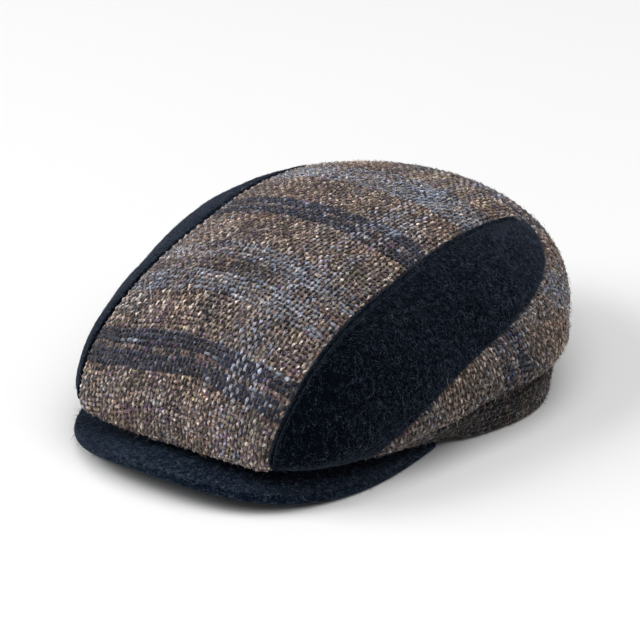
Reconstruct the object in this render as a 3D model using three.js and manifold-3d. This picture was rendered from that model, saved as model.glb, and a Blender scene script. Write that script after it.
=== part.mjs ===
// Flat cap in wool tweed and felted wool, lying on its hem and on the corners of its peak.
// Millimetres, +Z up. The front is towards -Y, +X is the wearer's left, and the table is at z = 0.
// The crown is a plaid centre panel, a leaf-shaped insert on each side of it, and a plaid side
// panel below each insert, which bulges out over a low band. The peak is one stiffened crescent.

import * as THREE from 'three';
import { mergeVertices } from 'three/addons/utils/BufferGeometryUtils.js';
import Module from 'manifold-3d';

const clothThickness = 2.5;
const seamGap = 0.3; // between panels that are sewn edge to edge, and where the hem sits on the peak
const crownHeight = 93;
const crownCentreY = -12; // the directions of the tables are taken round a line here

// A row for each direction round one half of the crown, in degrees from the front to the back.
// reach is the widest outline, at beltHeight. Below it the cloth turns under to a crease, and a
// band runs from the crease down to the hem. domePower flattens the top of the dome and
// shoulderPower fills its shoulder.
const crownSections = [
  { direction: 0, reach: 108.5, beltHeight: 22.6, domePower: 2.25, shoulderPower: 2.4,
    creaseReach: 99, creaseHeight: 19.2, hemReach: 84 },
  { direction: 30, reach: 115.5, beltHeight: 24.5, domePower: 2.22, shoulderPower: 2.4,
    creaseReach: 95, creaseHeight: 16.2, hemReach: 82 },
  { direction: 60, reach: 100, beltHeight: 27.5, domePower: 2.15, shoulderPower: 1.8,
    creaseReach: 96.5, creaseHeight: 15, hemReach: 80.5 },
  { direction: 90, reach: 101, beltHeight: 29.5, domePower: 2.06, shoulderPower: 1.62,
    creaseReach: 98, creaseHeight: 19.8, hemReach: 90.5 },
  { direction: 120, reach: 126, beltHeight: 36.5, domePower: 2.05, shoulderPower: 1.7,
    creaseReach: 121.5, creaseHeight: 22, hemReach: 119 },
  { direction: 150, reach: 140.5, beltHeight: 54, domePower: 2.05, shoulderPower: 1.85,
    creaseReach: 132, creaseHeight: 24.5, hemReach: 121.5 },
  { direction: 180, reach: 145.5, beltHeight: 57, domePower: 2.14, shoulderPower: 2.1,
    creaseReach: 131, creaseHeight: 25, hemReach: 120.5 },
];
const sectionStep = 30;

// The front hem is sewn over the peak. Behind it the hem comes down to the table.
const hemOnPeakEnds = 82;
const hemOnTableStarts = 96;

// Half the width of the centre panel at the origin, and how much it grows for each mm backwards.
const centreHalfWidth = 57.2;
const centreFlare = 0.03;

// The edge between an insert and its side panel, from the front hem round to the centre panel.
const insertEdge = [
  { direction: 53, height: 16.5 },
  { direction: 62.5, height: 26.4 },
  { direction: 75, height: 36.8 },
  { direction: 94.5, height: 47 },
  { direction: 114.5, height: 55 },
  { direction: 128, height: 59.3 },
  { direction: 139, height: 63.6 },
  { direction: 147, height: 68.8 },
  { direction: 147.8, height: 74 },
];
const insertEdgePoints = 24;

// The peak: a rounded outline in plan, arched across its width.
const peakThickness = 4.5;
const peakHalfWidth = 84;
const peakFront = 133.7; // how far the peak reaches in front of the origin
const peakCentreY = -32;
const peakOutlinePower = 2.45;
const peakArchHeight = 13.8;
const peakArchHalfWidth = 82;
const peakArchPower = 1.5;
const peakSewnWidth = 7; // how far the peak runs in under the front hem
const peakEndDirection = 84;

// How finely the shapes are faceted.
const crownDirections = 64;
const domeRows = 13;
const turnRows = 5;
const bandRows = 3;
const peakDirections = 40;
const peakTopRows = 4;
const peakRimRows = 3;

const cutterReach = 200; // how far the cutting shapes run past the cap

const degrees = Math.PI / 180;

function lerp(start, end, share) {
  return start + (end - start) * share;
}

// A direction from the front, 0 to 180, the same on both halves of the cap.
function foldedDirection(direction) {
  return Math.abs(((direction + 540) % 360) - 180);
}

// A column of the table in any direction, on a smooth curve through its rows.
function sectionValue(column, direction) {
  const folded = foldedDirection(direction);
  const last = crownSections.length - 1;
  const index = Math.min(Math.floor(folded / sectionStep), last - 1);
  const t = folded / sectionStep - index;
  const [before, start, end, after] = [index - 1, index, index + 1, index + 2].map((row) => {
    const mirroredRow = row > last ? 2 * last - row : Math.abs(row);
    return crownSections[mirroredRow][column];
  });
  const startSlope = (end - before) / 2;
  const endSlope = (after - start) / 2;
  return (2 * t ** 3 - 3 * t ** 2 + 1) * start + (t ** 3 - 2 * t ** 2 + t) * startSlope
    + (3 * t ** 2 - 2 * t ** 3) * end + (t ** 3 - t ** 2) * endSlope;
}

// The same column on a plain egg through its front, side and back rows. The dome starts from this
// at its top, so that it is smooth there, and settles to the table's own outline at the belt.
function eggValue(column, direction) {
  const last = crownSections.length - 1;
  const front = crownSections[0][column];
  const side = crownSections[last / 2][column];
  const back = crownSections[last][column];
  const c = Math.cos(direction * degrees);
  return side + ((front - back) / 2) * c + ((front + back) / 2 - side) * c ** 2;
}

function domeValue(column, direction, row) {
  return lerp(eggValue(column, direction), sectionValue(column, direction), row ** 2);
}

function peakArch(x) {
  const share = Math.max(0, 1 - (x / peakArchHalfWidth) ** 2);
  return peakArchHeight * share ** peakArchPower;
}

function hemHeight(direction) {
  const folded = foldedDirection(direction);
  const innerReach = sectionValue('hemReach', folded) - clothThickness;
  const onPeak = peakArch(innerReach * Math.sin(folded * degrees)) + peakThickness + seamGap;
  return onPeak * (1 - THREE.MathUtils.smoothstep(folded, hemOnPeakEnds, hemOnTableStarts));
}

// Reach and height of the crown in one direction: row 0 to 1 over the dome, 1 to 2 in under it,
// 2 to 3 down the band. depth is 0 on the outer face and the cloth's thickness on the inner one.
function crownSection(direction, row, depth) {
  const value = (column) => sectionValue(column, direction);
  const creaseReach = value('creaseReach') - depth;
  const creaseHeight = value('creaseHeight') + depth;
  if (row <= 1) {
    const angle = (row * Math.PI) / 2;
    const belt = domeValue('beltHeight', direction, row);
    const out = Math.sin(angle) ** (2 / domeValue('domePower', direction, row));
    const up = Math.max(0, Math.cos(angle)) ** (2 / domeValue('shoulderPower', direction, row));
    const reach = (domeValue('reach', direction, row) - depth) * out;
    return [reach, belt + (crownHeight - depth - belt) * up];
  }
  if (row <= 2) {
    const angle = ((row - 1) * Math.PI) / 2;
    const reach = lerp(creaseReach, value('reach') - depth, Math.cos(angle));
    return [reach, lerp(value('beltHeight'), creaseHeight, Math.sin(angle))];
  }
  const reach = lerp(creaseReach, value('hemReach') - depth, row - 2);
  return [reach, lerp(creaseHeight, hemHeight(direction), row - 2)];
}

function crownPosition(direction, reach, height) {
  const angle = direction * degrees;
  return new THREE.Vector3(reach * Math.sin(angle), crownCentreY - reach * Math.cos(angle), height);
}

// The point of the outer face, above the crease, in a direction and at a height.
function crownPointAt(direction, height) {
  let above = 0;
  let below = 2;
  for (let i = 0; i < 30; i += 1) {
    const row = (above + below) / 2;
    if (crownSection(direction, row, 0)[1] > height) above = row;
    else below = row;
  }
  return crownPosition(direction, ...crownSection(direction, above, 0));
}

function meshGeometry(positions, faces) {
  const geometry = new THREE.BufferGeometry();
  const numbers = positions.flatMap((point) => point.toArray());
  geometry.setAttribute('position', new THREE.Float32BufferAttribute(numbers, 3));
  geometry.setIndex(faces.flat());
  return geometry;
}

// Two triangles for each cell between ring a and ring b, which have the same number of points.
function bridgeRings(faces, a, b, count) {
  for (let i = 0; i < count; i += 1) {
    const next = (i + 1) % count;
    faces.push([a + i, b + i, b + next], [a + i, b + next, a + next]);
  }
}

function crownShell() {
  const rows = [];
  for (let i = 1; i <= domeRows; i += 1) rows.push(i / domeRows);
  for (let i = 1; i <= turnRows; i += 1) rows.push(1 + i / turnRows);
  for (let i = 1; i <= bandRows; i += 1) rows.push(2 + i / bandRows);
  const positions = [];
  const faces = [];
  const addFace = (depth) => {
    const apex = positions.length;
    positions.push(crownPosition(0, 0, crownHeight - depth));
    for (const row of rows) {
      for (let i = 0; i < crownDirections; i += 1) {
        const direction = (i * 360) / crownDirections;
        positions.push(crownPosition(direction, ...crownSection(direction, row, depth)));
      }
    }
    return apex;
  };
  const outer = addFace(0);
  const inner = addFace(clothThickness);
  const ring = (apex, row) => apex + 1 + row * crownDirections;
  const last = rows.length - 1;
  for (let i = 0; i < crownDirections; i += 1) {
    const next = (i + 1) % crownDirections;
    faces.push([outer, ring(outer, 0) + i, ring(outer, 0) + next]);
    faces.push([inner, ring(inner, 0) + next, ring(inner, 0) + i]);
  }
  for (let row = 0; row < last; row += 1) {
    bridgeRings(faces, ring(outer, row), ring(outer, row + 1), crownDirections);
    bridgeRings(faces, ring(inner, row + 1), ring(inner, row), crownDirections);
  }
  bridgeRings(faces, ring(outer, last), ring(inner, last), crownDirections);
  return meshGeometry(positions, faces);
}

// The outline that cuts out the centre panel, in plan, grown by margin on both sides.
function centreCutter(margin) {
  const halfWidth = (y) => centreHalfWidth + centreFlare * y + margin;
  const outline = new THREE.Shape([
    new THREE.Vector2(-halfWidth(-cutterReach), -cutterReach),
    new THREE.Vector2(halfWidth(-cutterReach), -cutterReach),
    new THREE.Vector2(halfWidth(cutterReach), cutterReach),
    new THREE.Vector2(-halfWidth(cutterReach), cutterReach),
  ]);
  const cutter = new THREE.ExtrudeGeometry(outline, { depth: 2 * cutterReach, bevelEnabled: false });
  return cutter.translate(0, 0, -cutterReach);
}

// The outline that cuts out an insert, seen from the side and grown by margin, run out along +X.
function insertCutter(margin) {
  const corners = insertEdge.map(({ direction, height }) => {
    const point = crownPointAt(direction, height);
    return new THREE.Vector3(point.y, point.z, 0);
  });
  const edge = new THREE.CatmullRomCurve3(corners, false, 'centripetal');
  const edgePoints = edge.getPoints(insertEdgePoints).map((point, i) => {
    const along = edge.getTangent(i / insertEdgePoints);
    return new THREE.Vector2(point.x + along.y * margin, point.y - along.x * margin);
  });
  const front = edgePoints[0];
  const back = edgePoints[insertEdgePoints];
  const outline = new THREE.Shape([
    new THREE.Vector2(-cutterReach, -cutterReach),
    new THREE.Vector2(front.x - clothThickness, -cutterReach),
    new THREE.Vector2(front.x - clothThickness, front.y - clothThickness),
    ...edgePoints,
    new THREE.Vector2(back.x, cutterReach),
    new THREE.Vector2(-cutterReach, cutterReach),
  ]);
  const cutter = new THREE.ExtrudeGeometry(outline, { depth: cutterReach, bevelEnabled: false });
  return cutter.applyMatrix4(new THREE.Matrix4().makeBasis(
    new THREE.Vector3(0, 1, 0),
    new THREE.Vector3(0, 0, 1),
    new THREE.Vector3(1, 0, 0),
  ));
}

function peakOuterReach(direction) {
  const angle = direction * degrees;
  let inside = 0;
  let outside = cutterReach;
  for (let i = 0; i < 40; i += 1) {
    const reach = (inside + outside) / 2;
    const x = Math.abs(reach * Math.sin(angle)) / peakHalfWidth;
    const y = Math.abs(crownCentreY - reach * Math.cos(angle) - peakCentreY) / (peakFront + peakCentreY);
    if (x ** peakOutlinePower + y ** peakOutlinePower < 1) inside = reach;
    else outside = reach;
  }
  return inside;
}

// The peak's section: up its sewn inner edge, out over the top, round the rim and back below.
function peakSection(direction) {
  const inner = sectionValue('hemReach', direction) - peakSewnWidth;
  const rimRadius = peakThickness / 2;
  const outer = peakOuterReach(direction) - rimRadius;
  const points = [];
  for (let i = 0; i <= peakTopRows; i += 1) {
    points.push([lerp(inner, outer, i / peakTopRows), peakThickness]);
  }
  for (let i = 1; i < peakRimRows; i += 1) {
    const angle = Math.PI * (0.5 - i / peakRimRows);
    points.push([outer + rimRadius * Math.cos(angle), rimRadius + rimRadius * Math.sin(angle)]);
  }
  for (let i = peakTopRows; i >= 0; i -= 1) {
    points.push([lerp(inner, outer, i / peakTopRows), 0]);
  }
  return points.map(([reach, height]) => {
    const point = crownPosition(direction, reach, height);
    point.z += peakArch(point.x);
    return point;
  });
}

function peakGeometry() {
  const positions = [];
  const faces = [];
  for (let i = 0; i <= peakDirections; i += 1) {
    const direction = lerp(-peakEndDirection, peakEndDirection, i / peakDirections);
    positions.push(...peakSection(direction));
  }
  const count = positions.length / (peakDirections + 1);
  for (let i = 0; i < peakDirections; i += 1) bridgeRings(faces, (i + 1) * count, i * count, count);
  for (let i = 0; i < Math.floor(count / 2) - 1; i += 1) {
    const [near, far] = [i, count - 1 - i];
    const last = peakDirections * count;
    faces.push([near, far - 1, near + 1], [near, far, far - 1]);
    faces.push([last + near, last + near + 1, last + far - 1], [last + near, last + far - 1, last + far]);
  }
  return meshGeometry(positions, faces);
}

const wasm = await Module();
wasm.setup();

function toSolid(geometry) {
  const bare = geometry.clone();
  bare.deleteAttribute('normal');
  bare.deleteAttribute('uv');
  const merged = mergeVertices(bare);
  return new wasm.Manifold(new wasm.Mesh({
    numProp: 3,
    vertProperties: new Float32Array(merged.attributes.position.array),
    triVerts: new Uint32Array(merged.index.array),
  }));
}

function toGeometry(solid) {
  const mesh = solid.getMesh();
  const geometry = new THREE.BufferGeometry();
  geometry.setAttribute('position', new THREE.BufferAttribute(mesh.vertProperties, 3));
  geometry.setIndex(new THREE.BufferAttribute(mesh.triVerts, 1));
  return geometry;
}

function mirrored(geometry) {
  const copy = geometry.clone().scale(-1, 1, 1);
  const index = copy.index.array;
  for (let i = 0; i < index.length; i += 3) [index[i], index[i + 1]] = [index[i + 1], index[i]];
  return copy;
}

const brownTweed = { color: 0x6b5a4c, roughness: 0.95, metalness: 0 };
const navyWool = { color: 0x141c2c, roughness: 0.92, metalness: 0 };

const cap = new THREE.Group();

function addPiece(name, geometry, look) {
  const piece = new THREE.Mesh(geometry, new THREE.MeshStandardMaterial(look));
  piece.name = name;
  cap.add(piece);
}

const shell = toSolid(crownShell());
const leftHalf = shell.subtract(toSolid(centreCutter(seamGap / 2))).trimByPlane([1, 0, 0], 0);
const insert = toGeometry(leftHalf.intersect(toSolid(insertCutter(-seamGap / 2))));
const sidePanel = toGeometry(leftHalf.subtract(toSolid(insertCutter(seamGap / 2))));

addPiece('top_panel', toGeometry(shell.intersect(toSolid(centreCutter(-seamGap / 2)))), brownTweed);
addPiece('side_insert_left', insert, navyWool);
addPiece('side_insert_right', mirrored(insert), navyWool);
addPiece('side_panel_left', sidePanel, brownTweed);
addPiece('side_panel_right', mirrored(sidePanel), brownTweed);
addPiece('peak', peakGeometry(), navyWool);

export default cap;
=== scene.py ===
import math

import bmesh
import bpy
import numpy as np
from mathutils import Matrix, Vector


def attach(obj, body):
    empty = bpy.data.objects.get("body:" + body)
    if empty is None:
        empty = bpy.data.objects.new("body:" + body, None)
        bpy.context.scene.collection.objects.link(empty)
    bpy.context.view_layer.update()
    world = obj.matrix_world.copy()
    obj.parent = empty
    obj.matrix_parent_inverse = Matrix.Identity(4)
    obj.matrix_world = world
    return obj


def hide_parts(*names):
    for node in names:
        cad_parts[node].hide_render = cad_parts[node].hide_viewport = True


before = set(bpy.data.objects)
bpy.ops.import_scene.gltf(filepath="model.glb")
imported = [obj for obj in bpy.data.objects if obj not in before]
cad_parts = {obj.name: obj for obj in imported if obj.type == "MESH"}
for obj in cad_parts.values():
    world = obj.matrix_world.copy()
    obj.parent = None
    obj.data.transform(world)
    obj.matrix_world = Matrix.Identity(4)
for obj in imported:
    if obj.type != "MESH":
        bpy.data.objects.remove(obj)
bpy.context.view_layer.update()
mm = 0.001

search = {"halvings": 34, "rowHalvings": 26, "peakHalvings": 40, "furthest": 200.0}

# the crown's shape, in mm, as it is cut
crown = {
    "height": 93, "centreY": -12, "cloth": 2.5, "sectionStep": 30, "sliceHeight": 40,
    "hemOnPeakEnds": 82, "hemOnTableStarts": 96, "halfWidth": 57.2, "flare": 0.03,
}
# One row for each direction from the front to the back, every 30 degrees.
sectionColumns = (
    "reach", "beltHeight", "domePower", "shoulderPower", "creaseReach", "creaseHeight", "hemReach",
)
sectionRows = (
    (108.5, 22.6, 2.25, 2.4, 99, 19.2, 84),
    (115.5, 24.5, 2.22, 2.4, 95, 16.2, 82),
    (100, 27.5, 2.15, 1.8, 96.5, 15, 80.5),
    (101, 29.5, 2.06, 1.62, 98, 19.8, 90.5),
    (126, 36.5, 2.05, 1.7, 121.5, 22, 119),
    (140.5, 54, 2.05, 1.85, 132, 24.5, 121.5),
    (145.5, 57, 2.14, 2.1, 131, 25, 120.5),
)
# The seam between an insert and its side panel: direction and height.
insertEdge = (
    (53, 16.5), (62.5, 26.4), (75, 36.8), (94.5, 47), (114.5, 55), (128, 59.3), (139, 63.6), (147, 68.8),
    (147.8, 74),
)
peakShape = {
    "thickness": 4.5, "halfWidth": 84, "front": 133.7, "centreY": -32, "outlinePower": 2.45,
    "archHeight": 13.8, "archHalfWidth": 82, "archPower": 1.5, "sewnWidth": 7, "endDirection": 84,
}
seamGap = 0.3
crownMiddle = np.array((0.0, crown["centreY"], crown["sliceHeight"]))
sectionTable = {name: np.array(values, float) for name, values in zip(sectionColumns, zip(*sectionRows))}


def smoothStep(value, low, high):
    t = np.clip((value - low) / (high - low), 0, 1)
    return t * t * (3 - 2 * t)


def hump(value, middle, width):
    # one at the middle, falling off smoothly to both sides
    return np.exp(-((value - middle) / width) ** 2)


def folded(direction):
    return np.abs((np.asarray(direction, float) + 180) % 360 - 180)


def sectionValue(name, direction):
    values = sectionTable[name]
    last = len(values) - 1
    place = folded(direction) / crown["sectionStep"]
    index = np.clip(place.astype(int), 0, last - 1)
    t = place - index
    padded = np.concatenate(([values[1]], values, [values[last - 1]]))
    before, start, end, after = (padded[index + k] for k in range(4))
    startSlope, endSlope = (end - before) / 2, (after - start) / 2
    return ((2 * t**3 - 3 * t**2 + 1) * start + (t**3 - 2 * t**2 + t) * startSlope
            + (3 * t**2 - 2 * t**3) * end + (t**3 - t**2) * endSlope)


def domeValue(name, direction, row):
    values = sectionTable[name]
    front, side, back = values[0], values[len(values) // 2], values[-1]
    c = np.cos(np.radians(direction))
    egg = side + (front - back) / 2 * c + ((front + back) / 2 - side) * c**2
    return egg + (sectionValue(name, direction) - egg) * row**2


def peakArch(x):
    share = np.clip(1 - (x / peakShape["archHalfWidth"]) ** 2, 0, 1)
    return peakShape["archHeight"] * share ** peakShape["archPower"]


def hemHeight(direction):
    away = folded(direction)
    innerReach = sectionValue("hemReach", away) - crown["cloth"]
    onPeak = peakArch(innerReach * np.sin(np.radians(away))) + peakShape["thickness"] + seamGap
    return onPeak * (1 - smoothStep(away, crown["hemOnPeakEnds"], crown["hemOnTableStarts"]))


def roundMiddle(angle, reach, height):
    # the place at an angle from straight ahead, this far from the crown's middle
    return np.stack((reach * np.sin(angle), crown["centreY"] - reach * np.cos(angle), height), -1)


def crownSection(direction, row):
    # row 0 to 1 over the dome, 1 to 2 in under it, 2 to 3 down the band
    direction, row = np.broadcast_arrays(np.asarray(direction, float), np.asarray(row, float))
    domeRow = np.clip(row, 0, 1)
    angle = domeRow * np.pi / 2
    belt = domeValue("beltHeight", direction, domeRow)
    out = np.sin(angle) ** (2 / domeValue("domePower", direction, domeRow))
    up = np.clip(np.cos(angle), 0, 1) ** (2 / domeValue("shoulderPower", direction, domeRow))
    domeReach = domeValue("reach", direction, domeRow) * out
    domeHeight = belt + (crown["height"] - belt) * up
    creaseReach = sectionValue("creaseReach", direction)
    creaseHeight = sectionValue("creaseHeight", direction)
    turn = np.clip(row - 1, 0, 1) * np.pi / 2
    turnReach = creaseReach + (sectionValue("reach", direction) - creaseReach) * np.cos(turn)
    beltHeight = sectionValue("beltHeight", direction)
    turnHeight = beltHeight + (creaseHeight - beltHeight) * np.sin(turn)
    band = np.clip(row - 2, 0, 1)
    bandReach = creaseReach + (sectionValue("hemReach", direction) - creaseReach) * band
    bandHeight = creaseHeight + (hemHeight(direction) - creaseHeight) * band
    reach = np.where(row <= 1, domeReach, np.where(row <= 2, turnReach, bandReach))
    height = np.where(row <= 1, domeHeight, np.where(row <= 2, turnHeight, bandHeight))
    return reach, height


def crownPoint(direction, row):
    reach, height = crownSection(direction, row)
    return roundMiddle(np.radians(direction), reach, height)


# The crown is star-shaped round the slice centre: tables by direction and rise give its distance,
# and how far a place lies from the hem along the cloth.
tableDirections = np.arange(0, 361, 1.0)
tableRises = np.arange(-26, 90.01, 0.125)
tableRows = np.concatenate((np.linspace(0, 1, 241), np.linspace(1, 2, 81)[1:], np.linspace(2, 3, 81)[1:]))
sectionReach, sectionHeight = crownSection(tableDirections[:, None], tableRows[None, :])
sectionRise = np.degrees(np.arctan2(sectionHeight - crown["sliceHeight"], sectionReach))
sectionAway = np.hypot(sectionReach, sectionHeight - crown["sliceHeight"])
stepLengths = np.hypot(np.diff(sectionReach, axis=1), np.diff(sectionHeight, axis=1))
fromTop = np.concatenate((np.zeros((len(tableDirections), 1)), np.cumsum(stepLengths, axis=1)), axis=1)
fromHem = fromTop[:, -1:] - fromTop


def byRise(values):
    # values along each section, read at even steps of rise
    pairs = zip(sectionRise, values)
    return np.stack([np.interp(tableRises, rises[::-1], row[::-1]) for rises, row in pairs])


awayByRise = byRise(sectionAway)
fromHemByRise = byRise(fromHem)


def lookUp(table, direction, rise):
    i = np.asarray(direction, float) % 360
    j = np.clip((rise - tableRises[0]) / (tableRises[1] - tableRises[0]), 0, len(tableRises) - 1.001)
    i0, j0 = i.astype(int), j.astype(int)
    fi, fj = i - i0, j - j0
    low = (1 - fj) * table[i0, j0] + fj * table[i0, j0 + 1]
    high = (1 - fj) * table[i0 + 1, j0] + fj * table[i0 + 1, j0 + 1]
    return (1 - fi) * low + fi * high


def directionAndRise(points):
    x, y, z = np.moveaxis(points - crownMiddle, -1, 0)
    level = np.hypot(x, y)
    return np.degrees(np.arctan2(x, -y)) % 360, np.degrees(np.arctan2(z, level)), np.hypot(level, z)


def halfWidthAt(y):
    return crown["halfWidth"] + crown["flare"] * y


def slicePoint(share, angle):
    # the crown's point on the lengthwise slice at a share of the centre panel's half width, at an
    # angle seen from the side: 0 in front, 90 at the top, 180 behind
    share, angle = np.broadcast_arrays(np.asarray(share, float), np.radians(np.asarray(angle, float)))
    near, far = np.zeros(angle.shape), np.full(angle.shape, search["furthest"])
    for _ in range(search["halvings"]):
        away = (near + far) / 2
        y = crown["centreY"] - away * np.cos(angle)
        points = np.stack((share * halfWidthAt(y), y, crown["sliceHeight"] + away * np.sin(angle)), -1)
        direction, rise, size = directionAndRise(points)
        inside = size < lookUp(awayByRise, direction, rise)
        near, far = np.where(inside, away, near), np.where(inside, far, away)
    return points


# cloth: a grid of points that carries yarns, fibres and stitches
def cubicWeights(t):
    return np.stack(((-t + 2 * t**2 - t**3) / 2, (2 - 5 * t**2 + 3 * t**3) / 2,
                     (t + 4 * t**2 - 3 * t**3) / 2, (-t**2 + t**3) / 2), -1)


def gridValue(grid, i, j):
    # smooth value of a grid at fractional places
    rows, columns = grid.shape[:2]
    i0 = np.clip(np.floor(i).astype(int), 0, rows - 2)
    j0 = np.clip(np.floor(j).astype(int), 0, columns - 2)
    wi, wj = cubicWeights(i - i0), cubicWeights(j - j0)
    total = 0
    for a in range(4):
        ia = np.clip(i0 + a - 1, 0, rows - 1)
        for b in range(4):
            jb = np.clip(j0 + b - 1, 0, columns - 1)
            total = total + (wi[..., a] * wj[..., b])[..., None] * grid[ia, jb]
    return total


def unit(vectors):
    return vectors / np.maximum(np.linalg.norm(vectors, axis=-1, keepdims=True), 1e-12)


def lengthsAlong(points, axis):
    # how far along its line each point of a line, or of a grid's lines, lies
    steps = np.linalg.norm(np.diff(points, axis=axis), axis=-1)
    start = np.zeros_like(np.take(steps, [0], axis=axis))
    return np.concatenate((start, np.cumsum(steps, axis=axis)), axis=axis)


def makeCloth(points, us, vs):
    # a smooth sheet of cloth with its own coordinates, normals away from the crown's inside
    normals = unit(np.cross(np.gradient(points, axis=0), np.gradient(points, axis=1)))
    middle = (points.shape[0] // 2, points.shape[1] // 2)
    if np.dot(normals[middle], points[middle] - crownMiddle) < 0:
        normals = -normals
    return {"points": points, "normals": normals, "us": us, "vs": vs}


def onCloth(cloth, u, v):
    i = np.interp(u, cloth["us"], np.arange(len(cloth["us"])))
    j = np.interp(v, cloth["vs"], np.arange(len(cloth["vs"])))
    return gridValue(cloth["points"], i, j), unit(gridValue(cloth["normals"], i, j))


hemFold = {"radius": 1.25, "aboveTable": 0.55, "turnUp": 5.0, "steps": 6}


def foldRows(last, before):
    # rows of points that carry the cloth on round its hem and up inside
    normals = unit(np.cross(np.gradient(last, axis=0), last - before))
    outward = last - crownMiddle
    outward[:, 2] = 0
    beyond = unit(last - before)
    flip = np.sign(np.sum(normals * np.where(np.abs(beyond[:, 2:]) > 0.5, outward, (0, 0, -1)), axis=1))
    normals = normals * flip[:, None]
    radius = hemFold["radius"]
    rows, distances = [], []
    for step in range(1, hemFold["steps"] + 1):
        a = step * math.pi / hemFold["steps"]
        rows.append(last - normals * radius + (normals * math.cos(a) + beyond * math.sin(a)) * radius)
        distances.append(radius * a)
    for step in (1, 2):
        rise = hemFold["turnUp"] * step / 2
        rows.append(last - 2 * radius * normals - beyond * rise)
        distances.append(radius * math.pi + rise)
    return rows, distances


topGrid = {"across": 41, "hemReach": 70, "hemSteps": 561, "samples": 801, "frontRows": 61, "backRows": 85}
sideGrid = {
    "start": 16, "end": 166.1, "step": 1.5, "lowRows": 10, "lowEnd": 20, "highEnd": 127, "rowStep": 2.0,
}


def centreCloth():
    # the centre panel, by share of its half width and by length from the top
    shares = np.linspace(-1, 1, topGrid["across"])
    hemDirections = np.linspace(-topGrid["hemReach"], topGrid["hemReach"], topGrid["hemSteps"])
    frontHem = crownPoint(hemDirections, 3)
    backHem = crownPoint(180 - hemDirections, 3)
    starts, ends = [], []
    for hem, found in ((frontHem, starts), (backHem, ends)):
        hemShare = hem[:, 0] / halfWidthAt(hem[:, 1])
        inner = np.abs(hemShare) < 1.2
        y = np.interp(shares, hemShare[inner], hem[inner, 1])
        z = np.interp(shares, hemShare[inner], hem[inner, 2])
        found.append(np.degrees(np.arctan2(z - crown["sliceHeight"], crown["centreY"] - y)))
    front, back = starts[0], ends[0] % 360
    angles = front[:, None] + (back - front)[:, None] * np.linspace(0, 1, topGrid["samples"])[None, :]
    points = slicePoint(shares[:, None], angles)
    along = lengthsAlong(points, 1)
    top = np.array([np.interp(90, angles[i], along[i]) for i in range(len(shares))])
    frontLength, backLength = float(np.mean(top)), float(np.mean(along[:, -1] - top))
    edge = hemFold["radius"] + hemFold["aboveTable"]
    frontRows = np.linspace(-frontLength + edge, 0, topGrid["frontRows"])
    vs = np.concatenate((frontRows, np.linspace(0, backLength - edge, topGrid["backRows"])[1:]))
    rows = []
    for v in vs:
        place = top * (1 + v / frontLength) if v < 0 else top + (along[:, -1] - top) * v / backLength
        rows.append(np.stack([[np.interp(place[i], along[i], points[i, :, k]) for k in range(3)]
                              for i in range(len(shares))]))
    frontFold, frontAway = foldRows(rows[0], rows[1])
    backFold, backAway = foldRows(rows[-1], rows[-2])
    rows = frontFold[::-1] + rows + backFold
    vs = np.concatenate((vs[0] - np.array(frontAway[::-1]), vs, vs[-1] + np.array(backAway)))
    return makeCloth(np.stack(rows, axis=1), shares * crown["halfWidth"], vs)


def sideCloth():
    # the whole side of the crown, by direction and by length up from the hem
    directions = np.arange(sideGrid["start"], sideGrid["end"], sideGrid["step"])
    edge = hemFold["radius"] + hemFold["aboveTable"]
    lowRows = np.linspace(edge, sideGrid["lowEnd"], sideGrid["lowRows"])
    highRows = np.arange(sideGrid["lowEnd"] + sideGrid["rowStep"], sideGrid["highEnd"], sideGrid["rowStep"])
    ups = np.concatenate((lowRows, highRows))
    rows = []
    for up in ups:
        found = []
        for direction in directions:
            i = int(direction)
            f = direction - i
            for table in (sectionReach, sectionHeight):
                ends = [np.interp(up, fromHem[k][::-1], table[k][::-1]) for k in (i, i + 1)]
                found.append(ends[0] * (1 - f) + ends[1] * f)
        rows.append(roundMiddle(np.radians(directions), np.array(found[::2]), np.array(found[1::2])))
    fold, away = foldRows(rows[0], rows[1])
    rows = fold[::-1] + rows
    ups = np.concatenate((ups[0] - np.array(away[::-1]), ups))
    belt = crownPoint(directions, 1)
    cloth = makeCloth(np.stack(rows, axis=1), lengthsAlong(belt, 0), ups)
    cloth["directions"] = directions
    return cloth


def onCrownAt(y, z):
    # the crown's point on the wearer's left that has this y and height
    low, high = np.zeros_like(y), np.full_like(y, 180.0)
    for _ in range(search["halvings"]):
        direction = (low + high) / 2
        near, far = np.zeros_like(y), np.full_like(y, 3.0)
        for _ in range(search["rowHalvings"]):
            row = (near + far) / 2
            height = crownSection(direction, row)[1]
            near, far = np.where(height > z, row, near), np.where(height > z, far, row)
        reach = crownSection(direction, row)[0]
        ahead = crown["centreY"] - reach * np.cos(np.radians(direction)) < y
        low, high = np.where(ahead, direction, low), np.where(ahead, high, direction)
    return crownPoint(direction, row)


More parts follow.
